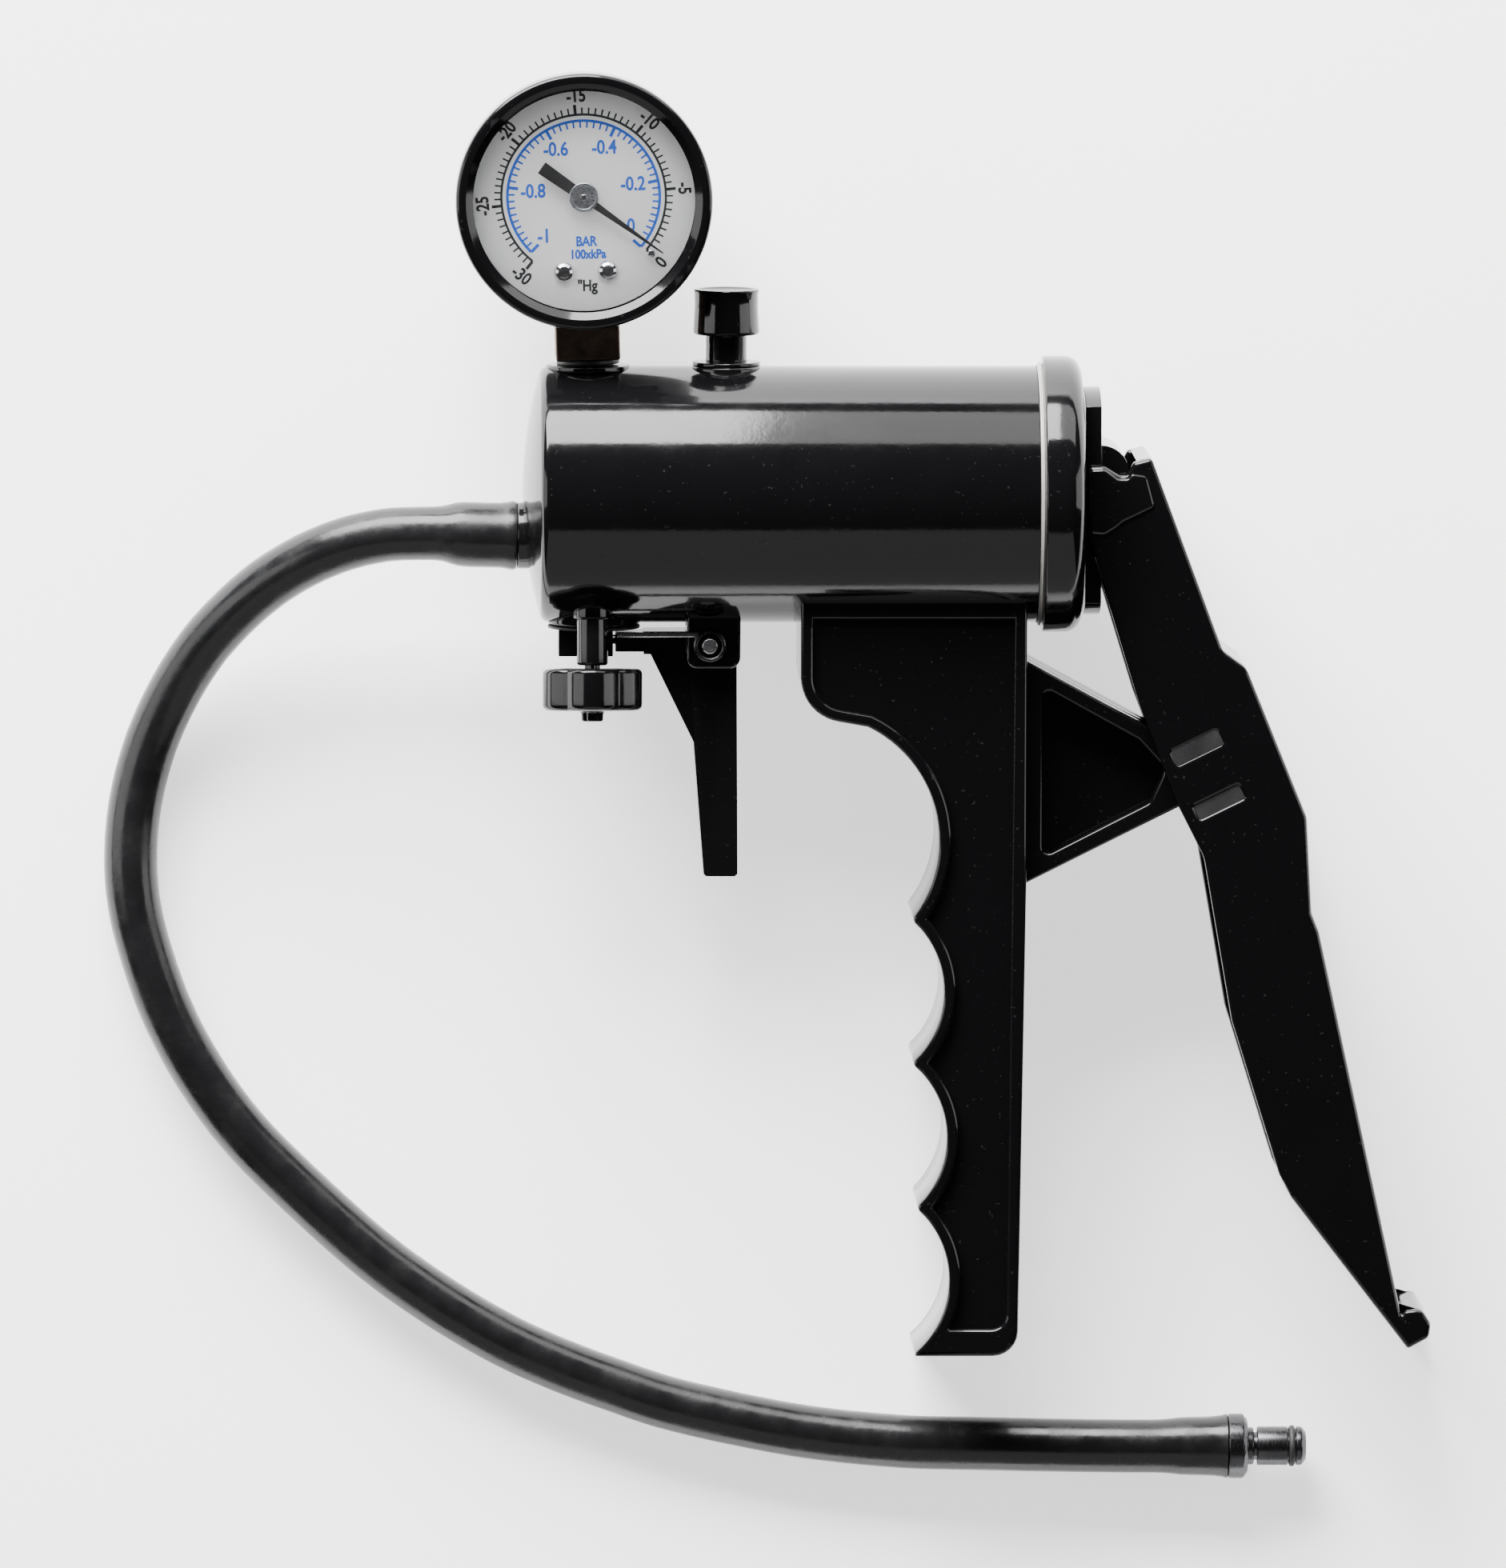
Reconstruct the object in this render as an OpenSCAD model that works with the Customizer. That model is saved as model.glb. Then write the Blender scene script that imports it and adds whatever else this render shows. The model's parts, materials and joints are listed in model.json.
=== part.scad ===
/* [Barrel] */
// Outer radius of the barrel
barrel_r = 20; // [19:0.5:21]
// Radius of the cylinder bore
bore_r = 17; // [16:0.5:17.5]
// Length of the barrel from its front edge
barrel_len = 77.2; // [76:0.2:78]
// How far the front end bulges
dome_h = 3; // [2:0.5:4]
// Where the bore starts, behind the valve block
bore_x = 34; // [34:0.1:34.2]
// Radius of the rear cap's flange
cap_r = 21.6; // [21:0.1:22]

/* [Gauge] */
// Radius of the bezel
bezel_r = 20; // [19:0.5:21]
// Radius of the case behind the bezel
case_r = 18.6; // [18:0.1:19]
// Height of the gauge's centre over the barrel axis
gauge_y = 46.5; // [45:0.5:48]
// Lean of the gauge, in degrees
gauge_lean = 1.8; // [0:0.1:3]
// Angle of the pointer at zero, in degrees
pointer_a = -37; // [-45:1:-30]

/* [Grip] */
// Half of the grip's width
grip_half = 12; // [11:0.5:13]
// Lowest point of the grip under the barrel axis
grip_drop = 134.2; // [133:0.2:136]
// Radius of a finger groove
finger_r = 15; // [14:0.5:16]
// Depth of the side panels
panel_depth = 1.2; // [0.5:0.1:2]

/* [Handle] */
// Half of the handle's width
handle_half = 11.9; // [11.8:0.1:12]
// Thickness of the handle's walls
handle_wall = 2.2; // [2:0.1:2.4]

/* [Valves and trigger] */
// Radius of the star knob
knob_r = 8; // [7:0.5:9]
// Lean of the bleed valve's tower and knob, in degrees
valve_lean = 5; // [0:1:6]
// Thickness of the trigger's blade
trigger_half = 4; // [3:0.5:5]

/* [Hose] */
// Outer diameter of the hose
hose_d = 8.4; // [8:0.1:9]

/* [Hidden] */
$fn = 64;

// Where the pump lies: on the cap's flange and the foot of the grip.
lie_tilt = asin((cap_r - grip_half) / grip_drop);
barb_x = -14.2;
handle_toe_x = 138.9;
origin_x = (barb_x + handle_toe_x) / 2;
foot_y = -grip_drop * cos(lie_tilt) - grip_half * sin(lie_tilt);
crown_y = (gauge_y + bezel_r) * cos(lie_tilt) - 5.2 * sin(lie_tilt);
origin_y = (foot_y + crown_y) / 2;

handle_pivot = [103.6, -43.2];
rod_y = -1;
piston_x = 36.6;
pin_x = 88.4;
pin_r = 2;
rod_r = 4;
stub_r = 3;
fit = 0.05;

gauge_x = 7.25;
gauge_base_y = 20;
dial_z = 6.2;
bezel_front_z = 12;
case_back_z = -11;
arbor_rise = 0.5;
wheel_gap = 7;
plate_h = 0.8;
dial_screw_x = [-3.4, 3.4];
dial_screw_y = -11.1;
stop_at = [10.2, -8.5];

vent_x = 28.8;
vent_button_r = 5.3;
vent_neck_r = 3.2;
vent_floor_y = 9;

valve_x = 8.2;
valve_boss_r = 7.2;
valve_boss_y = -20.4;
valve_gasket_y = -20.9;
gallery_y = -6.5;
bleed_x = 7.8;
bleed_y = -18.9;
bleed_z = 8;
tower_r = 2.45;

trigger_pivot = [26.1, -23];
trigger_pin_r = 1.2;

cap_front_x = 78;
cap_back_x = 84.2;
plate_x = 84.5;
cap_screw_y = 16.5;
screw_head_h = 1.4;

hose_r = hose_d / 2;
exit_x = -3.85;

module lay() {
  translate([-origin_x, -origin_y, cap_r])
    rotate([lie_tilt, 0, 0]) children();
}

// A cylinder along X, from x0 to x1.
module bar_x(x0, x1, r, y = 0, z = 0) {
  translate([x0, y, z]) rotate([0, 90, 0]) cylinder(h = x1 - x0, r = r);
}

// A cylinder along Y, from y0 to y1.
module bar_y(y0, y1, r, x = 0, z = 0) {
  translate([x, y0, z]) rotate([-90, 0, 0]) cylinder(h = y1 - y0, r = r);
}

// A cylinder along Z, from z0 to z1.
module bar_z(z0, z1, r, x = 0, y = 0) {
  translate([x, y, z0]) cylinder(h = z1 - z0, r = r);
}

// A box from its lowest corner to its highest.
module block(low, high) {
  translate(low) cube(high - low);
}

// A ring of wire, one turn, round an axis along Z.
module wire_ring(r, wire_r, z) {
  translate([0, 0, z]) rotate_extrude() translate([r, 0]) circle(r = wire_r, $fn = 24);
}

// A coil spring along Z drawn as closed turns tied by two rods inside it.
module spring(r, wire_r, z0, z1, turns) {
  for (i = [0 : turns - 1]) {
    wire_ring(r, wire_r, z0 + wire_r + i * (z1 - z0 - 2 * wire_r) / (turns - 1));
  }
  for (side = [-1, 1]) {
    translate([side * r, 0, z0 + wire_r]) cylinder(h = z1 - z0 - 2 * wire_r, r = wire_r * 0.6);
  }
}

/* ---- barrel and cap ---- */

module barrel() {
  color("#141414") lay() difference() {
    union() {
      intersection() {
        bar_x(-dome_h, barrel_len, barrel_r);
        dome_sphere_r = (barrel_r * barrel_r + dome_h * dome_h) / (2 * dome_h);
        translate([dome_sphere_r - dome_h, 0, 0]) sphere(r = dome_sphere_r, $fn = 128);
      }
      bar_y(15, gauge_base_y + 0.3, 6.5, gauge_x);
      bar_y(15, gauge_base_y + 0.1, 5.5, vent_x);
      bar_y(valve_boss_y, -14, valve_boss_r, valve_x);
      on_bleed() bar_y(0, 6, 3);
      trigger_ears();
    }
    bar_x(bore_x, barrel_len + 1, bore_r);
    bar_x(-dome_h - 1, -1.4, 5.22, gallery_y);
    bar_x(-dome_h - 1, 30.5, 2.5, gallery_y);
    bar_x(30, bore_x + 1, 5, gallery_y);
    bar_y(gallery_y, gauge_base_y + 1, 1.5, gauge_x);
    bar_y(-30, gallery_y, 1.04, valve_x);
    bar_y(vent_floor_y, gauge_base_y + 1, 4.42, vent_x);
    bar_y(gallery_y, vent_floor_y + 1, 0.8, vent_x);
    on_bleed() bar_y(-1, 5, 1.3);
    on_bleed() bar_y(-8, 0, tower_r + fit);
    bar_z(-8, 8, trigger_pin_r, trigger_pivot[0], trigger_pivot[1]);
    for (z = saddle_screw_z) {
      bar_y(-22, -17.6, 1.2, saddle_screw_x, z);
    }
  }
}

saddle_screw_x = 46;
saddle_screw_z = [-6, 6];

module trigger_ears() {
  for (side = [-1, 1]) {
    z0 = side > 0 ? 4.4 : -6.8;
    block([22.6, -26.8, z0], [31, -15.5, z0 + 2.4]);
  }
}

module cap_gasket() {
  color("#8a8478") lay() difference() {
    bar_x(barrel_len, cap_front_x, barrel_r + 0.7);
    bar_x(barrel_len - 1, cap_front_x + 1, bore_r);
  }
}

module rear_cap() {
  color("#141414") lay() difference() {
    union() {
      bar_x(cap_front_x, cap_back_x - 3, cap_r);
      translate([cap_back_x - 3, 0, 0]) rotate([0, 90, 0])
        cylinder(h = 3, r1 = cap_r, r2 = cap_r - 2.4);
      bar_x(68, cap_front_x + 1, bore_r - 0.02);
    }
    bar_x(67, 80, bore_r - 2.6);
    bar_x(79, cap_back_x + 1, 6, rod_y);
    for (a = [45 : 90 : 315]) {
      rotate([a, 0, 0]) {
        bar_x(77, cap_back_x + 1, 1.1, cap_screw_y);
        bar_x(cap_back_x - screw_head_h, cap_back_x + 1, 2.15, cap_screw_y);
      }
    }
  }
}

module cap_screws() {
  color("#9a9a9a") lay() for (a = [45 : 90 : 315]) {
    rotate([a, 0, 0]) {
      bar_x(80.5, cap_back_x - screw_head_h, 1.1, cap_screw_y);
      difference() {
        bar_x(cap_back_x - screw_head_h, cap_back_x, 2.1, cap_screw_y);
        block([cap_back_x - 0.6, 14, -0.3], [cap_back_x + 1, 19, 0.3]);
      }
    }
  }
}

module rod_bushing() {
  color("#b8a06a") lay() difference() {
    bar_x(79.2, cap_back_x, 6, rod_y);
    bar_x(78, cap_back_x + 1, rod_r + fit, rod_y);
  }
}

/* ---- grip frame ---- */

web_at = [41.9, -53.3];
web_r = 19.9;
finger_y = [-76.9, -99.8, -122.2];
finger_x = [47.6, 48.1, 48.5];

module grip_outline() {
  difference() {
    union() {
      hull() {
        translate([40.2, -20]) square([35.2, 8]);
        translate([47.2, -27.7]) circle(r = 7);
        translate([58, -38.5]) square([17.4, 1]);
      }
      hull() {
        translate([57.4, -34]) square([18, 2]);
        translate([70.3, -grip_drop + 4]) circle(r = 4);
        translate([58.2, -grip_drop]) square([6, 1]);
      }
    }
    translate(web_at) circle(r = web_r, $fn = 96);
    for (i = [0 : 2]) {
      translate([finger_x[i], finger_y[i]]) circle(r = finger_r, $fn = 64);
    }
  }
}

module bracket_outline(rim) {
  offset(delta = -rim) union() {
    polygon([[74, -24.6], [94.6, -35.9], [101, -39.6], [101, -47.2], [99.5, -48.2], [74, -61]]);
  }
}

module grip_frame() {
  color("#161616") lay() difference() {
    union() {
      translate([0, 0, -grip_half]) linear_extrude(2 * grip_half) grip_rounded();
      translate([0, 0, -8.5]) linear_extrude(17) bracket_outline(0);
      bar_z(-8.5, 8.5, 6.2, handle_pivot[0], handle_pivot[1]);
    }
    bar_x(30, 90, barrel_r + 0.05);
    for (side = [-1, 1]) {
      translate([0, 0, side > 0 ? grip_half - panel_depth : -grip_half - 1])
        linear_extrude(panel_depth + 1) grip_panel();
      translate([0, 0, side > 0 ? 3 : -9.5]) linear_extrude(6.5) bracket_pocket();
    }
    translate([handle_pivot[0], handle_pivot[1], -10]) cylinder(h = 20, r = stub_r + fit);
    for (z = saddle_screw_z) {
      bar_y(-24, -15, 1.2, saddle_screw_x, z);
      bar_y(-40, -24, 2.6, saddle_screw_x, z);
    }
  }
}

module grip_rounded() {
  offset(1.5, $fn = 24) offset(-3, $fn = 24) offset(1.5, $fn = 24) grip_outline();
}

module grip_panel() {
  difference() {
    offset(delta = -3) grip_rounded();
    translate([30, -24]) square([60, 14]);
  }
}

module bracket_pocket() {
  difference() {
    bracket_outline(2.4);
    translate([handle_pivot[0], handle_pivot[1]]) circle(r = 6.2);
    translate([70, -70]) square([7.5, 60]);
  }
}

module saddle_screws() {
  color("#8c8c8c") lay() for (z = saddle_screw_z) {
    bar_y(-24, -17.8, 1.15, saddle_screw_x, z);
    bar_y(-26.2, -24, 2.4, saddle_screw_x, z);
  }
}

/* ---- handle and piston ---- */

module handle_outline() {
  polygon([
    [94.7, 6.6], [105.9, -23.5], [109.4, -26.4], [119.1, -49.6], [119.9, -64.6], [121.1, -67.6],
    [133.6, -125.1], [134.2, -128], [134.9, -127.3], [136.2, -126.9], [137.6, -127.2],
    [138.6, -128.3], [138.9, -129.6], [138.9, -130.6], [138, -131.9], [135.2, -133.3],
    [116.9, -109.3], [115, -105.6], [107.5, -81.4], [103.1, -55.9],
    [99, -47.8], [92.8, -31.6], [88.2, -16.6], [84.7, -6], [84.7, 5.2], [87.6, 5.3],
    [88.8, 4.8], [89.7, 3.9], [90.8, 3.9], [91.9, 5.7], [92.5, 6.3]
  ]);
}

// The blind slot in each cheek runs from the pin towards the handle's pivot.
slot_half = 11.2;
module pin_slot() {
  reach = [pin_x - handle_pivot[0], rod_y - handle_pivot[1]];
  far = norm(reach);
  near = reach[1];
  along = reach / far;
  hull() {
    for (d = [near - 0.3, far + 0.1]) {
      p = handle_pivot + along * d;
      translate([p[0], p[1], -slot_half]) cylinder(h = 2 * slot_half, r = pin_r + 0.45, $fn = 32);
    }
  }
}

mark_at = [[101.9, -38.7], [105.4, -47.2]];
mark_depth = 0.8;
toe_y = -124;

module handle() {
  color("#161616") lay() difference() {
    union() {
      difference() {
        translate([0, 0, -handle_half]) linear_extrude(2 * handle_half) handle_outline();
        translate([0, 0, handle_wall - handle_half]) linear_extrude(2 * (handle_half - handle_wall))
          intersection() {
            union() {
              handle_outline();
              translate([80, -4]) square([13, 12]);
            }
            union() {
              translate([-2.35, -0.5]) handle_outline();
              translate([-4, 3]) handle_outline();
            }
            translate([80, toe_y]) square([60, 140]);
          }
      }
      for (side = [-1, 1]) {
        z0 = side > 0 ? 4.6 : -handle_half + 0.5;
        bar_z(z0, z0 + 7.4, stub_r, handle_pivot[0], handle_pivot[1]);
      }
    }
    for (spot = mark_at) {
      translate([spot[0], spot[1], 0]) rotate([0, 0, 26]) {
        for (z = [-handle_half, handle_half]) {
          translate([0, 0, z]) cube([7.6, 2.2, 2 * mark_depth], center = true);
        }
      }
    }
    pin_slot();
  }
}

module crosshead() {
  color("#1c1c1c") lay() difference() {
    union() {
      intersection() {
        bar_x(plate_x, 87, 17.8, rod_y);
        block([plate_x - 1, -30, -9], [90, 30, 9]);
      }
      intersection() {
        hull() {
          for (y = [rod_y - 5, rod_y + 5]) {
            bar_z(-8.6, 8.6, 4.3, pin_x - 1.4, y);
          }
        }
        block([plate_x + 0.5, -30, -9], [pin_x + 10, 30, 9]);
      }
    }
    bar_z(-10, 10, pin_r, pin_x, rod_y);
    bar_x(plate_x - 1, 85.2, rod_r, rod_y);
  }
}

module crosshead_pin() {
  color("#c8c8c8") lay() bar_z(0.3 - slot_half, slot_half - 0.3, pin_r, pin_x, rod_y);
}

module piston_rod() {
  color("#c8c8c8") lay() {
    bar_x(piston_x + 6.4, 85.2, rod_r, rod_y);
    bar_x(piston_x - 1.8, piston_x + 6.4, 2, rod_y);
  }
}

module piston() {
  color("#2a2a2a") lay() difference() {
    union() {
      bar_x(piston_x, piston_x + 2, bore_r - 0.3);
      bar_x(piston_x + 2, piston_x + 4.4, bore_r - 2.5);
      bar_x(piston_x + 4.4, piston_x + 6.4, bore_r - 0.3);
    }
    bar_x(piston_x - 1, piston_x + 7, 2, rod_y);
  }
}

module piston_seal() {
  color("#30302e") lay() difference() {
    bar_x(piston_x + 2, piston_x + 4.4, bore_r - fit);
    bar_x(piston_x, piston_x + 5, bore_r - 2.5);
  }
}

module piston_nut() {
  color("#b0b0b0") lay() difference() {
    translate([piston_x - 2, rod_y, 0]) rotate([0, 90, 0]) cylinder(h = 2, r = 3.8, $fn = 6);
    bar_x(piston_x - 3, piston_x + 1, 2, rod_y);
  }
}

module return_spring() {
  color("#a8a8a8") lay() translate([piston_x + 6.4, rod_y, 0]) rotate([0, 90, 0])
    spring(9, 0.7, 0, 37, 9);
}

module intake_valve() {
  color("#3a3a38") lay() {
    bar_x(30.5, 31.5, 4.6, gallery_y);
    bar_x(31.5, 33.8, 1.4, gallery_y);
  }
}

/* ---- gauge ---- */

module on_gauge() {
  lay() translate([gauge_x, gauge_base_y, 0]) rotate([0, 0, gauge_lean])
    translate([0, gauge_y - gauge_base_y, 0]) children();
}

// The pointer's arbor sits a little above the case's centre.
module on_arbor() {
  on_gauge() translate([0, arbor_rise, 0]) children();
}

module gauge_case() {
  color("#181818") on_gauge() difference() {
    bar_z(case_back_z, 6.4, case_r);
    bar_z(case_back_z + 1.4, 7, case_r - 1.2);
    block([-5.05, -25, -5.05], [5.05, -13.9, 5.05]);
  }
}

module gauge_bezel() {
  color("#181818") on_gauge() difference() {
    union() {
      bar_z(5.2, bezel_front_z - 1, bezel_r);
      translate([0, 0, bezel_front_z - 1]) cylinder(h = 1, r1 = bezel_r, r2 = bezel_r - 1);
    }
    bar_z(5, 6.4, case_r);
    bar_z(6, 10.8, case_r - 0.4);
    bar_z(10, 13, 17);
  }
}

module gauge_lens() {
  color("#dfe8ee", 0.3) on_gauge() bar_z(9.4, 10.8, case_r - 0.5);
}

module gauge_dial() {
  color("#c4c4c2") on_gauge() difference() {
    bar_z(dial_z, dial_z + 0.6, case_r - 1.3);
    bar_z(dial_z - 1, dial_z + 2, 1.2, 0, arbor_rise);
    for (x = dial_screw_x) {
      bar_z(dial_z - 1, dial_z + 2, 0.8, x, dial_screw_y);
    }
    bar_z(dial_z - 1, dial_z + 2, 0.6, stop_at[0], stop_at[1]);
  }
}

module dial_screws() {
  color("#d8d8dc") on_gauge() for (x = dial_screw_x) {
    bar_z(4.8, dial_z + 0.6, 0.8, x, dial_screw_y);
    intersection() {
      bar_z(dial_z + 0.6, dial_z + 2, 1.5, x, dial_screw_y);
      translate([x, dial_screw_y, dial_z + 0.2]) sphere(r = 1.7, $fn = 32);
    }
  }
}

module stop_pin() {
  color("#d8d8dc") on_gauge() bar_z(dial_z, dial_z + 2.2, 0.6, stop_at[0], stop_at[1]);
}

module pointer() {
  color("#202020") on_arbor() rotate([0, 0, pointer_a]) {
    bar_z(-1.5, dial_z + 1.9, 0.9);
    bar_z(1.4, 2.2, 1.2);
    bar_z(dial_z + 0.9, dial_z + 2.6, 2.2);
    translate([0, 0, dial_z + 1.9]) linear_extrude(0.4)
      polygon([[-8, -1.1], [-1, -1.1], [1, -0.7], [15.2, -0.12],
        [15.2, 0.12], [1, 0.7], [-1, 1.1], [-8, 1.1]]);
  }
}

module gauge_stem() {
  color("#6b5238") lay() translate([gauge_x, gauge_base_y, 0]) rotate([0, 0, gauge_lean]) {
    difference() {
      block([-5, 1.2, -5], [5, 13.5, 5]);
      bar_y(0, 14, 1.2);
    }
    difference() {
      bar_y(-3, 1.2, 1.48);
      bar_y(-4, 2, 0.8);
    }
  }
}

module stem_seal() {
  color("#101010") lay() translate([gauge_x, gauge_base_y, 0]) rotate([0, 0, gauge_lean]) difference() {
    bar_y(0.5, 1.2, 4.9);
    bar_y(0, 2, 1.5);
  }
}

module bourdon_tube() {
  color("#b08d4a") on_gauge() difference() {
    bar_z(-2.6, 2.6, 15);
    bar_z(-3, 3, 13.8);
    block([-5, -20, -4], [20, -9, 4]);
    rotate([0, 0, -28]) block([8, -20, -4], [20, 0, 4]);
  }
}

module gauge_movement() {
  color("#b99a55") {
    for (z = [-1.6, 3]) {
      on_arbor() difference() {
        block([-5, -13, z], [5, 6, z + plate_h]);
        bar_z(z - 1, z + 2, 0.95);
        bar_z(z - 1, z + 2, 0.85, 0, -wheel_gap);
      }
    }
    on_arbor() for (x = [-4.1, 4.1]) {
      bar_z(-1.6, 3.8, 0.8, x, 4.6);
    }
    on_gauge() {
      block([-5, -13, -6], [5, -11.8, 3.8]);
      for (x = dial_screw_x) {
        difference() {
          bar_z(3, dial_z, 1.3, x, dial_screw_y);
          bar_z(4.8, dial_z + 1, 0.8, x, dial_screw_y);
        }
      }
    }
  }
}

module sector_gear() {
  color("#c2a25a") on_arbor() translate([0, -wheel_gap, 0]) rotate([0, 0, 28]) {
    bar_z(-1.6, 3.8, 0.8);
    translate([0, 0, 1.4]) linear_extrude(0.8) intersection() {
      circle(r = 5.75);
      polygon([[-1.2, -1.6], [1.2, -1.6], [5.2, 7], [-5.2, 7]]);
    }
  }
}

/* ---- vent button ---- */

module vent_seat() {
  color("#1a1a1a") lay() difference() {
    union() {
      bar_y(15, gauge_base_y + 0.1, 4.4, vent_x);
      bar_y(gauge_base_y + 0.1, gauge_base_y + 0.8, 5.3, vent_x);
    }
    bar_y(14, 24, vent_neck_r + fit, vent_x);
  }
}

module vent_button() {
  color("#1c1c1c") lay() difference() {
    union() {
      bar_y(12.4, 25, vent_neck_r, vent_x);
      bar_y(25, 32.2, vent_button_r, vent_x);
    }
    translate([vent_x, 40.6, 0]) sphere(r = 9.2, $fn = 64);
  }
}

module vent_spring() {
  color("#a8a8a8") lay() translate([vent_x, vent_floor_y, 0]) rotate([-90, 0, 0])
    spring(2.4, 0.3, 0, 3, 3);
}

module vent_seal() {
  color("#101010") lay() bar_y(12, 12.4, 3.1, vent_x);
}

/* ---- release valve, bleed valve and trigger ---- */

module on_bleed() {
  translate([bleed_x, bleed_y, bleed_z]) rotate([-valve_lean, 0, 0]) children();
}

module valve_gasket() {
  color("#242424") lay() difference() {
    bar_y(valve_gasket_y, valve_boss_y, valve_boss_r, valve_x);
    bar_y(-30, -10, 1.2, valve_x);
    on_bleed() bar_y(-8, 0, tower_r + fit);
  }
}

module valve_body() {
  color("#1a1a1a") lay() difference() {
    block([2.6, -25, -5], [11.1, valve_gasket_y, 5]);
    block([4, -26, -3.8], [12, -22, 3.8]);
    bar_y(-30, -10, 1.2, valve_x);
  }
}

module valve_plunger() {
  color("#c8c8c8") lay() {
    bar_y(-23.5, -12, 1, valve_x);
    bar_y(-24, -23.5, 2.4, valve_x);
  }
}

module bleed_tower() {
  color("#1a1a1a") lay() on_bleed() difference() {
    bar_y(-7.2, 0, tower_r);
    bar_y(-8, 1, 1.3);
  }
}

module star_knob() {
  color("#1c1c1c") lay() on_bleed() {
    difference() {
      union() {
        bar_y(-14.2, -7.6, knob_r - 0.7);
        for (a = [0 : 72 : 288]) {
          rotate([0, a, 0]) bar_y(-13.8, -8, 2.6, 0, knob_r - 2.6);
        }
      }
      difference() {
        bar_y(-8.6, -7, knob_r - 2);
        bar_y(-9, -6, 3.4);
      }
    }
    bar_y(-16, -13, 1.75);
    bar_y(-10, 2, 1.25);
  }
}

module trigger() {
  color("#1a1a1a") lay() difference() {
    union() {
      translate([0, 0, -trigger_half]) linear_extrude(2 * trigger_half)
        polygon([[17, -24.8], [22.6, -24.8], [22.6, -20.8], [28.4, -20.8], [30.4, -22.8],
          [30.6, -59.2], [30.2, -59.6], [25.7, -59.6], [25.3, -59.2], [23.7, -38.5]]);
      block([15.9, -24.8, -3.4], [24, -21.2, 3.4]);
      block([11.5, -24.4, -3.4], [16, -21.4, 3.4]);
      for (z = [-3, 1.5]) {
        block([7, -23.2, z], [12, -22.2, z + 1.5]);
      }
    }
    bar_z(-10, 10, trigger_pin_r + fit, trigger_pivot[0], trigger_pivot[1]);
  }
}

module trigger_pin() {
  color("#c8c8c8") lay() bar_z(-7.4, 9.3, trigger_pin_r, trigger_pivot[0], trigger_pivot[1]);
}

module trigger_spring() {
  color("#d8d8d8") lay() {
    translate([trigger_pivot[0], trigger_pivot[1], 0]) spring(2.2, 0.35, 7.1, 9, 3);
    block([11.6, -22, 7.1], [24.4, -20.9, 7.7]);
  }
}

/* ---- hose and plug ---- */

module hose_spigot() {
  color("#161616") lay() difference() {
    union() {
      bar_x(-1.4, 4, 2.48, gallery_y);
      bar_x(exit_x, -1.4, 5.2, gallery_y);
      bar_x(barb_x, exit_x, 2.6, gallery_y);
      for (x = [-13.4, -10.6, -7.8]) {
        translate([x, gallery_y, 0]) rotate([0, 90, 0]) cylinder(h = 1.8, r1 = 2.6, r2 = 3.1);
      }
    }
    bar_x(barb_x - 1, 5, 1.5, gallery_y);
  }
}

// The hose's centre line, from the spigot's collar along the floor to the plug.
hose_route = [
  [-66.2, 27.9, 21.1], [-72, 28, 21.1], [-77, 28.2, 21.1], [-82, 28.2, 20.9], [-87, 27.9, 20.3],
  [-93, 26.5, 19.1], [-99, 24, 17.3], [-105, 20.3, 14.9], [-110.5, 15.5, 12.2], [-115.5, 9.8, 9.4],
  [-120, 2.5, 6.8], [-123.5, -5.5, 5], [-125.7, -14, 4.4], [-126.5, -22.5, 4.3],
  [-125.9, -30.5, 4.3], [-123.9, -38.5, 4.3], [-120.7, -47.3, 4.3], [-116, -56.2, 4.3],
  [-109.6, -65.2, 4.3], [-101.7, -73.4, 4.3], [-89.5, -84.5, 4.3], [-79.3, -92, 4.3],
  [-69, -98.2, 4.3], [-60, -102.4, 4.3], [-51, -105.8, 4.3], [-40.5, -109.2, 4.3],
  [-22.5, -113, 4.3], [-6.5, -114.8, 4.3], [5.5, -115.2, 4.3], [20, -115.5, 4.7],
  [30, -115.6, 5.2], [38, -115.6, 5.2], [45.6, -115.6, 5.2]
];
plug_at = hose_route[len(hose_route) - 1];

function pick(list, i) = list[max(0, min(len(list) - 1, i))];

// A smooth curve through the points: t runs from 0 to the last index.
function curve(list, t) =
  let (i = min(floor(t), len(list) - 2))
  let (f = t - i)
  let (a = pick(list, i - 1))
  let (b = pick(list, i))
  let (c = pick(list, i + 1))
  let (d = pick(list, i + 2))
  0.5 * (2 * b + (c - a) * f + (2 * a - 5 * b + 4 * c - d) * f * f
    + (3 * b - a - 3 * c + d) * f * f * f);

function unit(v) = v / norm(v);

function ring(centre, along, r, sides) =
  let (side = unit(cross(along, [0, 0, 1])))
  let (up = cross(side, along))
  [for (k = [0 : sides - 1])
    centre + r * (cos(360 * k / sides) * side + sin(360 * k / sides) * up)];

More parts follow.
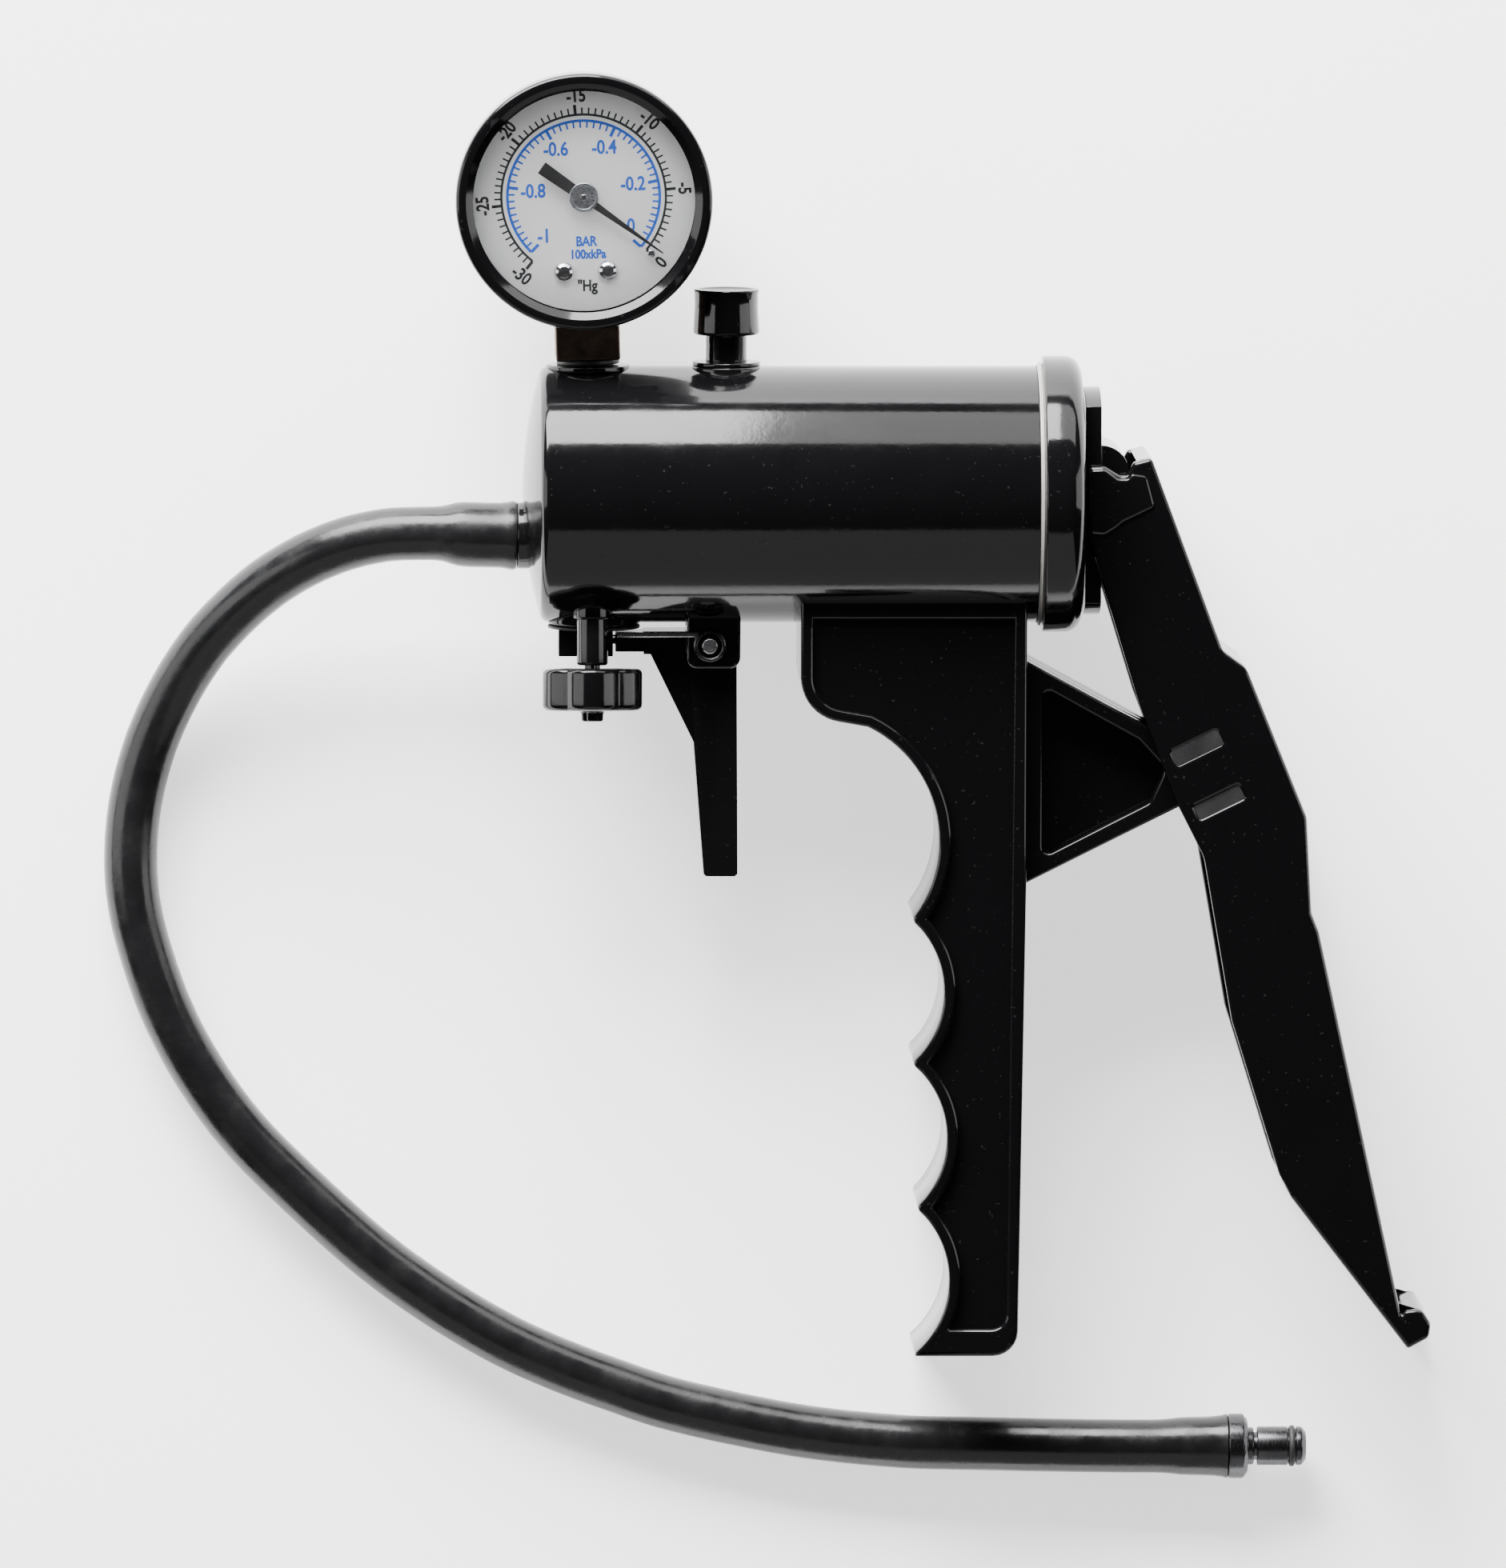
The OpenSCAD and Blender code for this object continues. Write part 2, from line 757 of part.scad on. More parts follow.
module tube(list, r, sides) {
  last = len(list) - 1;
  steps = last * 2;
  rings = [for (s = [0 : steps])
    let (t = s / 2)
    let (ahead = curve(list, min(last, t + 0.1)))
    let (behind = curve(list, max(0, t - 0.1)))
    ring(curve(list, t), unit(ahead - behind), r, sides)];
  points = [for (one = rings) for (p = one) p];
  walls = [for (s = [0 : steps - 1]) for (k = [0 : sides - 1])
    let (a = s * sides + k)
    let (b = s * sides + (k + 1) % sides)
    for (f = [[a, b, b + sides], [a, b + sides, a + sides]]) f];
  start = [for (k = [sides - 1 : -1 : 0]) k];
  end = [for (k = [0 : sides - 1]) steps * sides + k];
  polyhedron(points = points, faces = concat(walls, [start, end]), convexity = 6);
}

module hose() {
  color("#181818") tube(hose_route, hose_r, 10);
}

module at_plug() {
  translate(plug_at) children();
}

module plug_nut() {
  color("#2c2c2e") at_plug() difference() {
    union() {
      bar_x(0, 3.2, 5.1);
      bar_x(3.2, 4.2, 3);
    }
    bar_x(-1, 5, 1.6);
  }
}

module plug_body() {
  color("#3a3a3e") at_plug() difference() {
    union() {
      bar_x(-10, 4.7, 1.6);
      bar_x(4.2, 4.7, 2.2);
      bar_x(4.7, 9.6, 3.06);
      bar_x(9.6, 10.8, 2.4);
      bar_x(10.8, 11.8, 3.06);
      translate([11.8, 0, 0]) rotate([0, 90, 0]) cylinder(h = 0.6, r1 = 3.06, r2 = 2.3);
    }
    bar_x(-11, 13, 1);
  }
}

module plug_seal() {
  color("#0e0e0e") at_plug() difference() {
    translate([10.2, 0, 0]) rotate([0, 90, 0]) rotate_extrude() translate([2.55, 0])
      circle(r = 0.5, $fn = 24);
    bar_x(9, 11.2, 2.4);
  }
}

barrel();
cap_gasket();
rear_cap();
cap_screws();
rod_bushing();
grip_frame();
saddle_screws();
handle();
crosshead();
crosshead_pin();
piston_rod();
piston();
piston_seal();
piston_nut();
return_spring();
intake_valve();
gauge_case();
gauge_bezel();
gauge_lens();
gauge_dial();
dial_screws();
stop_pin();
pointer();
gauge_stem();
stem_seal();
bourdon_tube();
gauge_movement();
sector_gear();
vent_button();
vent_seat();
vent_spring();
vent_seal();
valve_gasket();
valve_body();
valve_plunger();
bleed_tower();
star_knob();
trigger();
trigger_pin();
trigger_spring();
hose_spigot();
hose();
plug_nut();
plug_body();
plug_seal();
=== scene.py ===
import json
import math

import bmesh
import bpy
from mathutils import Matrix, Vector
from mathutils.geometry import tessellate_polygon


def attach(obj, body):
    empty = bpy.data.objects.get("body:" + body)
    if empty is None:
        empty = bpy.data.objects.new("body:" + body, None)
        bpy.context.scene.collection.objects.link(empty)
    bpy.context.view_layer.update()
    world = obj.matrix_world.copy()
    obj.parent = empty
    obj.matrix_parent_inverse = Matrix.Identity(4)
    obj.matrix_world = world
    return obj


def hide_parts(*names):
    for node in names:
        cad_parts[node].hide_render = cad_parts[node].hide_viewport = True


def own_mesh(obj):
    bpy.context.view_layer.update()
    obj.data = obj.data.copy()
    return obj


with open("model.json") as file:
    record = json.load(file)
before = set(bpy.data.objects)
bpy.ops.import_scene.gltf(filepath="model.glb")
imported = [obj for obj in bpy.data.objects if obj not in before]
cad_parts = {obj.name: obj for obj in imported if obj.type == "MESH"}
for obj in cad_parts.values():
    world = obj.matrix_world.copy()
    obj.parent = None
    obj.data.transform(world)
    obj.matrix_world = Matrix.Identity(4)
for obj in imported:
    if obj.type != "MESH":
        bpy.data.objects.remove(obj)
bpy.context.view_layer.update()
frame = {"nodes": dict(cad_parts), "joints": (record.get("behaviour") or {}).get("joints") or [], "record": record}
joints = {joint["name"]: joint for joint in frame["joints"]}

# ---------------------------------------------------------------- the pump's own frame, in millimetres
# X runs along the barrel from its front edge, Y from the grip's foot to the gauge, Z out of the dial.

HANDLE_PIVOT = (103.6, -43.2)
GAUGE_FOOT = (7.25, 20)
GAUGE_LEAN = 1.8
GAUGE_RISE = 26.5
ARBOR_RISE = 0.5
BLEED_AT = (7.8, -18.9, 8)
BLEED_LEAN = 5
ROD_Y = -1
GALLERY_Y = -6.5
VENT_AT = (28.8, 0, 0)
VALVE_AT = (8.2, 0, 0)

lean = joints["pointer_swing"]["axis"]
TILT = math.atan2(-lean[1], lean[2])
PUMP = (
    Matrix.Translation(joints["handle_squeeze"]["pos_m"])
    @ Matrix.Rotation(TILT, 4, "X")
    @ Matrix.Scale(0.001, 4)
    @ Matrix.Translation((-HANDLE_PIVOT[0], -HANDLE_PIVOT[1], 0))
)
STEM = PUMP @ Matrix.Translation((*GAUGE_FOOT, 0)) @ Matrix.Rotation(math.radians(GAUGE_LEAN), 4, "Z")
GAUGE = STEM @ Matrix.Translation((0, GAUGE_RISE, 0))
ARBOR = GAUGE @ Matrix.Translation((0, ARBOR_RISE, 0))
BLEED = PUMP @ Matrix.Translation(BLEED_AT) @ Matrix.Rotation(math.radians(-BLEED_LEAN), 4, "X")
PLUG = Matrix.Translation((0.0456, -0.1156, 0.0052)) @ Matrix.Scale(0.001, 4)

scene = bpy.context.scene


# ---------------------------------------------------------------- camera

CAMERA_DISTANCE = 3.0
FOCAL_PER_HEIGHT = 24000 / 1960
SENSOR = 36


def make_camera():
    target = PUMP @ Vector((33.1, -45.5, 0))
    away = Vector((-math.tan(math.radians(1.6)), math.tan(math.radians(1.85)), 1)).normalized()
    data = bpy.data.cameras.new("camera")
    data.sensor_fit = "VERTICAL"
    data.sensor_height = SENSOR
    data.lens = FOCAL_PER_HEIGHT * SENSOR
    data.clip_end = 10
    camera = bpy.data.objects.new("camera", data)
    scene.collection.objects.link(camera)
    camera.location = target + away * CAMERA_DISTANCE
    right = Vector((0, 1, 0)).cross(away).normalized()
    up = away.cross(right)
    camera.rotation_euler = Matrix((right, up, away)).transposed().to_euler()
    scene.camera = camera


make_camera()


# ---------------------------------------------------------------- materials


class Shader:
    """A material's node tree, with short calls for the nodes used here."""

    def __init__(self, name):
        self.material = bpy.data.materials.new(name)
        self.material.use_nodes = True
        self.nodes = self.material.node_tree.nodes
        self.links = self.material.node_tree.links
        self.out = self.nodes["Principled BSDF"]
        self.place = self.nodes.new("ShaderNodeTexCoord").outputs["Object"]

    def node(self, kind, **inputs):
        made = self.nodes.new("ShaderNode" + kind)
        for key, value in inputs.items():
            name = key.replace("_", " ")
            if hasattr(value, "is_linked"):
                self.links.new(value, made.inputs[name])
            else:
                made.inputs[name].default_value = value
        return made

    def noise(self, scale, detail=3, roughness=0.55, stretch=None):
        place = self.place
        if stretch:
            moved = self.node("Mapping", Vector=self.place)
            moved.inputs["Scale"].default_value = stretch
            place = moved.outputs["Vector"]
        made = self.node("TexNoise", Vector=place, Scale=scale, Detail=detail, Roughness=roughness)
        return made.outputs["Fac"]

    def ramp(self, value, stops):
        made = self.nodes.new("ShaderNodeValToRGB")
        self.links.new(value, made.inputs["Fac"])
        items = made.color_ramp.elements
        while len(items) < len(stops):
            items.new(0.5)
        for item, (at, colour) in zip(items, stops):
            item.position = at
            item.color = (*colour, 1) if isinstance(colour, tuple) else (colour, colour, colour, 1)
        return made.outputs["Color"]

    def mix(self, share, a, b):
        made = self.nodes.new("ShaderNodeMix")
        made.data_type = "RGBA"
        for socket, value in ((0, share), (6, a), (7, b)):
            if hasattr(value, "is_linked"):
                self.links.new(value, made.inputs[socket])
            elif socket == 0:
                made.inputs[socket].default_value = value
            else:
                made.inputs[socket].default_value = (*value, 1)
        return made.outputs[2]

    def bump(self, height, strength, distance):
        made = self.node("Bump", Height=height, Strength=strength, Distance=distance)
        self.links.new(made.outputs["Normal"], self.out.inputs["Normal"])

    def set(self, **inputs):
        for key, value in inputs.items():
            name = key.replace("_", " ")
            if hasattr(value, "is_linked"):
                self.links.new(value, self.out.inputs[name])
            else:
                self.out.inputs[name].default_value = value
        return self.material


def gloss_plastic(name, colour, rough, dust=0.5):
    """Moulded glossy plastic: orange peel, faint smears in the gloss, dust specks and worn edges."""
    s = Shader(name)
    specks = s.ramp(s.noise(1500, 2, 0.4), [(0.70, 0.0), (0.76, dust)])
    edge = s.nodes.new("ShaderNodeNewGeometry").outputs["Pointiness"]
    worn = s.ramp(edge, [(0.53, 0.0), (0.60, 0.35)])
    tone = s.mix(s.noise(60, 3), colour, tuple(c * 1.5 for c in colour))
    tone = s.mix(worn, tone, (0.02, 0.02, 0.021))
    tone = s.mix(specks, tone, (0.08, 0.08, 0.08))
    smear = s.ramp(s.noise(90, 4, 0.6, (1, 1, 2.2)), [(0.35, rough * 0.8), (0.70, rough * 1.35)])
    s.bump(s.noise(900, 2), 0.04, 0.0002)
    return s.set(Base_Color=tone, Roughness=smear, Specular_IOR_Level=0.5)


def rubber(name, colour, rough):
    s = Shader(name)
    tone = s.mix(s.noise(300, 4), colour, tuple(c * 1.8 for c in colour))
    rub = s.ramp(s.noise(160, 4), [(0.3, rough * 0.8), (0.7, rough * 1.25)])
    s.bump(s.noise(2400, 3), 0.12, 0.0002)
    return s.set(Base_Color=tone, Roughness=rub)


def hose_plastic():
    """A smooth extruded hose with a faint mottle and long soft draw marks."""
    s = Shader("hose_rubber")
    tone = s.mix(s.noise(120, 4), (0.003, 0.003, 0.0033), (0.007, 0.007, 0.0075))
    rub = s.ramp(s.noise(220, 4, 0.6), [(0.3, 0.16), (0.72, 0.34)])
    s.bump(s.noise(700, 3), 0.10, 0.0003)
    return s.set(Base_Color=tone, Roughness=rub)


def metal(name, colour, rough, stretch=(1, 1, 1), grain=0.10, spread=0.25):
    s = Shader(name)
    marks = s.noise(1400, 3, 0.6, stretch)
    dull = tuple(c * 0.72 for c in colour)
    tone = s.mix(s.ramp(s.noise(200, 4), [(0.35, 0.0), (0.7, 1.0)]), dull, colour)
    rub = s.ramp(marks, [(0.3, rough * (1 - spread)), (0.7, rough * (1 + spread))])
    s.bump(marks, grain, 0.0001)
    return s.set(Base_Color=tone, Roughness=rub, Metallic=1.0)


def aged_bronze():
    """Dark brown bronze with tarnish patches and bright rubbed corners."""
    s = Shader("bronze")
    patches = s.ramp(s.noise(260, 5, 0.65), [(0.38, 0.0), (0.62, 1.0)])
    tone = s.mix(patches, (0.028, 0.018, 0.015), (0.075, 0.050, 0.040))
    edge = s.nodes.new("ShaderNodeNewGeometry").outputs["Pointiness"]
    tone = s.mix(s.ramp(edge, [(0.52, 0.0), (0.58, 0.6)]), tone, (0.16, 0.12, 0.09))
    rub = s.ramp(s.noise(700, 4), [(0.3, 0.34), (0.7, 0.55)])
    s.bump(s.noise(900, 4), 0.20, 0.0002)
    return s.set(Base_Color=tone, Roughness=rub, Metallic=0.85)


def dial_paint():
    """Silver-grey printed dial: a very fine matt grain with a soft unevenness."""
    s = Shader("dial_face")
    grain = s.noise(6000, 2, 0.5)
    tone = s.mix(grain, (0.80, 0.80, 0.80), (0.90, 0.90, 0.90))
    tone = s.mix(s.ramp(s.noise(70, 3), [(0.4, 0.0), (0.7, 0.35)]), tone, (0.78, 0.78, 0.77))
    s.bump(grain, 0.08, 0.00005)
    return s.set(Base_Color=tone, Roughness=s.ramp(grain, [(0.3, 0.42), (0.7, 0.55)]), Metallic=0.1)


def print_ink(name, colour):
    s = Shader(name)
    tone = s.mix(s.noise(3000, 3), colour, tuple(min(1, c * 1.35 + 0.01) for c in colour))
    rub = s.ramp(s.noise(2500, 2), [(0.3, 0.45), (0.7, 0.6)])
    return s.set(Base_Color=tone, Roughness=rub)


def clear_lens():
    s = Shader("lens")
    smear = s.ramp(s.noise(80, 4, 0.6), [(0.45, 0.01), (0.8, 0.06)])
    return s.set(Base_Color=(1, 1, 1, 1), Roughness=smear, Transmission_Weight=1.0, IOR=1.12)


# Painted highlight: the light grey tone is lighter than the gasket itself and stands in for the bright glint along
# the thin seam between barrel and rear cap.
def gasket_film():
    s = Shader("gasket")
    tone = s.mix(s.noise(500, 4), (0.20, 0.195, 0.18), (0.32, 0.31, 0.29))
    rub = s.ramp(s.noise(400, 3), [(0.3, 0.30), (0.7, 0.45)])
    return s.set(Base_Color=tone, Roughness=rub)


def painted_floor():
    s = Shader("floor")
    tone = s.mix(s.noise(3, 3), (0.90, 0.90, 0.90), (0.93, 0.93, 0.93))
    s.set(Base_Color=tone, Roughness=0.7)
    s.out.inputs["Emission Color"].default_value = (1, 1, 1, 1)
    s.out.inputs["Emission Strength"].default_value = 1.3
    return s.material


BLACK = gloss_plastic("gloss_black", (0.0016, 0.0016, 0.0018), 0.10, dust=0.12)
MATT_BLACK = rubber("matt_black", (0.008, 0.008, 0.0085), 0.42)
FINISH = {
    "gloss_black": BLACK,
    "gasket": gasket_film(),
    "steel": metal("steel", (0.58, 0.58, 0.60), 0.30, (1, 6, 6)),
    "spring_steel": metal("spring_steel", (0.50, 0.50, 0.52), 0.28),
    "chrome": metal("chrome", (0.82, 0.82, 0.85), 0.14, grain=0.04),
    "bronze": aged_bronze(),
    "brass": metal("brass", (0.66, 0.50, 0.26), 0.32),
    "dial_face": dial_paint(),
    "lens": clear_lens(),
    "pointer_black": gloss_plastic("pointer_black", (0.012, 0.012, 0.013), 0.38, dust=0.2),
    "seal_rubber": rubber("seal_rubber", (0.008, 0.008, 0.008), 0.55),
    "hose_rubber": hose_plastic(),
    "dark_metal": metal("dark_metal", (0.10, 0.10, 0.105), 0.28, (6, 1, 1)),
    "piston_plastic": rubber("piston_plastic", (0.03, 0.03, 0.03), 0.45),
}
SILVER = metal("silver", (0.60, 0.62, 0.66), 0.30, (1, 5, 1))
INK_BLACK = print_ink("ink_black", (0.012, 0.012, 0.014))
INK_BLUE = print_ink("ink_blue", (0.008, 0.075, 0.44))


# ---------------------------------------------------------------- mesh helpers

SMOOTH_ANGLE = math.radians(32)
EDGE_STEPS = 4


def finish_mesh(name, bm, space, material, body, replaces=()):
    """Turns a bmesh in the given space into a piece that rides on a body."""
    bm.transform(space)
    bmesh.ops.recalc_face_normals(bm, faces=bm.faces)
    mesh = bpy.data.meshes.new(name)
    bm.to_mesh(mesh)
    bm.free()
    for face in mesh.polygons:
        face.use_smooth = True
    mesh.set_sharp_from_angle(angle=SMOOTH_ANGLE)
    piece = bpy.data.objects.new(name, mesh)
    scene.collection.objects.link(piece)
    mesh.materials.append(material)
    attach(piece, body)
    if replaces:
        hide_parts(*replaces)
    return piece


def along(axis, h, u, v, at):
    """A point at height h along an axis, and u, v across it."""
    x, y, z = {"x": (h, u, v), "y": (v, h, u), "z": (u, v, h)}[axis]
    return (x + at[0], y + at[1], z + at[2])


def lathe(bm, profile, axis="x", at=(0, 0, 0), steps=96, loop=False, shape=None):
    """Turns (height, radius) points round an axis. loop joins the last point to the first, for a ring."""
    rings = []
    for h, r in profile:
        if r < 1e-6:
            rings.append([bm.verts.new(along(axis, h, 0, 0, at))])
            continue
        ring = []
        for k in range(steps):
            a = math.tau * k / steps
            wide = r * shape(a, h) if shape else r
            ring.append(bm.verts.new(along(axis, h, wide * math.cos(a), wide * math.sin(a), at)))
        rings.append(ring)
    pairs = list(zip(rings, rings[1:] + rings[:1])) if loop else list(zip(rings, rings[1:]))
    for low, high in pairs:
        for k in range(steps):
            n = (k + 1) % steps
            if len(low) == 1 and len(high) == 1:
                continue
            if len(low) == 1:
                bm.faces.new((low[0], high[n], high[k]))
            elif len(high) == 1:
                bm.faces.new((low[k], low[n], high[0]))
            else:
                bm.faces.new((low[k], low[n], high[n], high[k]))


def rounded(points, closed=True, n=6):
    """Rounds each corner (x, y, r) of an outline or a profile with an arc."""
    out = []
    last = len(points) - 1
    for i, p in enumerate(points):
        here = Vector(p[:2])
        r = p[2] if len(p) > 2 else 0
        if r <= 0 or (not closed and i in (0, last)):
            out.append(tuple(here))
            continue
        back = Vector(points[i - 1][:2]) - here
        ahead = Vector(points[(i + 1) % len(points)][:2]) - here
        half = back.angle(ahead) / 2
        reach = min(r / math.tan(half), 0.49 * back.length, 0.49 * ahead.length)
        r = reach * math.tan(half)
        middle = here + (back.normalized() + ahead.normalized()).normalized() * r / math.sin(half)
        start = here + back.normalized() * reach - middle
        end = here + ahead.normalized() * reach - middle
        turn = start.angle_signed(end)
        for k in range(n + 1):
            out.append(tuple(middle + Matrix.Rotation(-turn * k / n, 2) @ start))
    return out


def slab(bm, outline, low, high):
    """A flat plate: an outline in XY raised from low to high in Z."""
    bottom = [bm.verts.new((x, y, low)) for x, y in outline]
    top = [bm.verts.new((x, y, high)) for x, y in outline]
    bm.faces.new(bottom)
    bm.faces.new(top)
    for k in range(len(outline)):
        n = (k + 1) % len(outline)
        bm.faces.new((bottom[k], bottom[n], top[n], top[k]))


def box(bm, low, high):
    corners = [(low[0], low[1]), (high[0], low[1]), (high[0], high[1]), (low[0], high[1])]
    slab(bm, corners, low[2], high[2])


def bevel(piece, width, segments=3, angle=40):
    """Rounds a piece's sharp edges by a width in millimetres."""
    made = piece.modifiers.new("round", "BEVEL")
    made.width = width / 1000
    made.segments = segments
    made.limit_method = "ANGLE"
    made.angle_limit = math.radians(angle)
    made.use_clamp_overlap = True
    normals = piece.modifiers.new("normals", "WEIGHTED_NORMAL")
    normals.keep_sharp = False


def soften(node, width, material):
    """Gives a CAD node moulded edges and its material."""
    piece = frame["nodes"][node]
    weld = piece.modifiers.new("weld", "WELD")
    weld.merge_threshold = 0.00002
    flat = piece.modifiers.new("flat", "DECIMATE")
    flat.decimate_type = "DISSOLVE"
    flat.angle_limit = math.radians(0.6)
    if width:
        bevel(piece, width, angle=35)
    for face in piece.data.polygons:
        face.use_smooth = True
    piece.data.materials.clear()
    piece.data.materials.append(material)


def facing(loop, sign):
    """The loop, turned so that its area has the given sign."""
    area = sum(a[0] * b[1] - b[0] * a[1] for a, b in zip(loop, loop[1:] + loop[:1]))
    return loop if area * sign > 0 else loop[::-1]


def inset(loop, depth):
    """Moves each corner (x, y, r) of a loop to its left, into the material, with its arc concentric."""
    out = []
    for k, corner in enumerate(loop):
        here = Vector(corner[:2])
        a = (here - Vector(loop[k - 1][:2])).normalized()
        b = (Vector(loop[(k + 1) % len(loop)][:2]) - here).normalized()
        side = Vector((-a.y - b.y, a.x + b.x)).normalized()
        moved = here + side * depth / max(0.5, side.dot(Vector((-a.y, a.x))))
        r = corner[2] if len(corner) > 2 else 0
        if r > 0:
            r = max(0.04, r - depth if a.cross(b) > 0 else r + depth)
        out.append((moved.x, moved.y, r))
    return out


def plate(bm, outline, low, high, edge, holes=()):
    """A moulded plate with rounded edges, and holes through it. Its loops are corners (x, y, r)."""
    loops = [facing(list(outline), 1)] + [facing(list(hole), -1) for hole in holes]
    skin = 0.15
    turns = [math.pi / 2 * k / EDGE_STEPS for k in range(EDGE_STEPS + 1)]
    corner = [(edge * (1 - math.sin(a)), edge * (1 - math.cos(a))) for a in turns]
    profile = [(edge + skin, low)] + [(depth, low + rise) for depth, rise in corner]
    profile += [(depth, high - rise) for depth, rise in reversed(corner)] + [(edge + skin, high)]
    caps = {low: [], high: []}
    for loop in loops:
        rows = [[bm.verts.new((x, y, z)) for x, y in rounded(inset(loop, depth))] for depth, z in profile]
        for a, b in zip(rows, rows[1:]):
            for k in range(len(a)):
                n = (k + 1) % len(a)
                bm.faces.new((a[k], a[n], b[n], b[k]))
        caps[low].append(rows[0])
        caps[high].append(rows[-1])
    for rims in caps.values():
        corners = [v for rim in rims for v in rim]
        for triangle in tessellate_polygon([[v.co for v in rim] for rim in rims]):
            three = {corners[i] for i in triangle}
            if len(three) == 3:
                bm.faces.new([corners[i] for i in triangle])


def arc(centre, radius, start, end, step=4):
    """Points on an arc between two angles in degrees."""
    n = max(2, int(abs(end - start) / step))
    turn = [math.radians(start + (end - start) * k / n) for k in range(n + 1)]
    return [(centre[0] + radius * math.cos(a), centre[1] + radius * math.sin(a)) for a in turn]


def helix(bm, radius, wire, start, end, turns, axis, at, sides=10, steps=28, flat_turns=1.0):
    """A coil spring with closed end turns."""
    total = int(turns * steps)
    rows = []
    for i in range(total + 1):
        t = i / steps
        wide = end - start - 2 * wire
        lift = flat_turns * 2 * wire
        share = min(1, max(0, (t - flat_turns) / max(0.01, turns - 2 * flat_turns)))
        h = start + wire
        h += min(t, flat_turns) * 2 * wire
        h += share * (wide - 2 * lift)
        h += max(0, t - (turns - flat_turns)) * 2 * wire
        a = math.tau * t
        row = []
        for k in range(sides):
            b = math.tau * k / sides
            r = radius + wire * math.cos(b)
            height = h + wire * math.sin(b)
            row.append(bm.verts.new(along(axis, height, r * math.cos(a), r * math.sin(a), at)))
        rows.append(row)
    for low, high in zip(rows, rows[1:]):
        for k in range(sides):
            n = (k + 1) % sides
            bm.faces.new((low[k], low[n], high[n], high[k]))
    bm.faces.new(rows[0])
    bm.faces.new(list(reversed(rows[-1])))


# ---------------------------------------------------------------- hose and plug

HOSE_R = 0.0042
HOSE_ROUTE = [
    (-66.2, 27.9, 21.1), (-72, 28, 21.1), (-77, 28.2, 21.1), (-82, 28.2, 20.9), (-87, 27.9, 20.3),
    (-93, 26.5, 19.1), (-99, 24, 17.3), (-105, 20.3, 14.9), (-110.5, 15.5, 12.2), (-115.5, 9.8, 9.4),
    (-120, 2.5, 6.8), (-123.5, -5.5, 5), (-125.7, -14, 4.4), (-126.5, -22.5, 4.3),
    (-125.9, -30.5, 4.3), (-123.9, -38.5, 4.3), (-120.7, -47.3, 4.3), (-116, -56.2, 4.3),
    (-109.6, -65.2, 4.3), (-101.7, -73.4, 4.3), (-89.5, -84.5, 4.3), (-79.3, -92, 4.3),
    (-69, -98.2, 4.3), (-60, -102.4, 4.3), (-51, -105.8, 4.3), (-40.5, -109.2, 4.3),
    (-22.5, -113, 4.3), (-6.5, -114.8, 4.3), (5.5, -115.2, 4.3), (20, -115.5, 4.7),
    (30, -115.6, 5.2), (38, -115.6, 5.2), (45.6, -115.6, 5.2),
]


def smooth_path(points, steps):
    """A Catmull-Rom curve through the points."""
    out = []
    last = len(points) - 1
    for i in range(last):
        a, b, c, d = (points[max(0, min(last, k))] for k in (i - 1, i, i + 1, i + 2))
        for k in range(steps):
            f = k / steps
            out.append(
                0.5 * (2 * b + (c - a) * f + (2 * a - 5 * b + 4 * c - d) * f * f
                       + (3 * b - a - 3 * c + d) * f ** 3)
            )
    out.append(points[-1])
    return out


def hose_swell(start, end):
    """How much wider the hose is, by the distance from its two ends in metres."""
    grip = 0.0009 * (1 - 1 / (1 + math.exp(-(start - 0.0105) / 0.0007)))
    lip = 0.00035 * math.exp(-((start - 0.0008) / 0.0008) ** 2)
    tail = 0.0004 * (1 - 1 / (1 + math.exp(-(end - 0.0085) / 0.0008)))
    flare = 0.0005 * math.exp(-end / 0.0014)
    return grip + lip + tail + flare


def make_hose():
    points = [Vector(p) / 1000 for p in HOSE_ROUTE]
    path = smooth_path(points, 6)
    far = [0.0]
    for a, b in zip(path, path[1:]):
        far.append(far[-1] + (b - a).length)
    total = far[-1]
    bm = bmesh.new()
    sides = 32
    rows = []
    for i, here in enumerate(path):
        ahead = (path[min(i + 1, len(path) - 1)] - path[max(i - 1, 0)]).normalized()
        side = ahead.cross(Vector((0, 0, 1))).normalized()
        up = side.cross(ahead)
        r = HOSE_R + hose_swell(far[i], total - far[i])
        rows.append([
            bm.verts.new(here + r * (math.cos(math.tau * k / sides) * side
                                     + math.sin(math.tau * k / sides) * up))
            for k in range(sides)
        ])
    for low, high in zip(rows, rows[1:]):
        for k in range(sides):
            n = (k + 1) % sides
            bm.faces.new((low[k], low[n], high[n], high[k]))
    bm.faces.new(rows[0])
    bm.faces.new(list(reversed(rows[-1])))
    space = Matrix.Identity(4)
    hose = finish_mesh("hose_tube", bm, space, FINISH["hose_rubber"], "housing", ["hose"])
    return hose, path, total


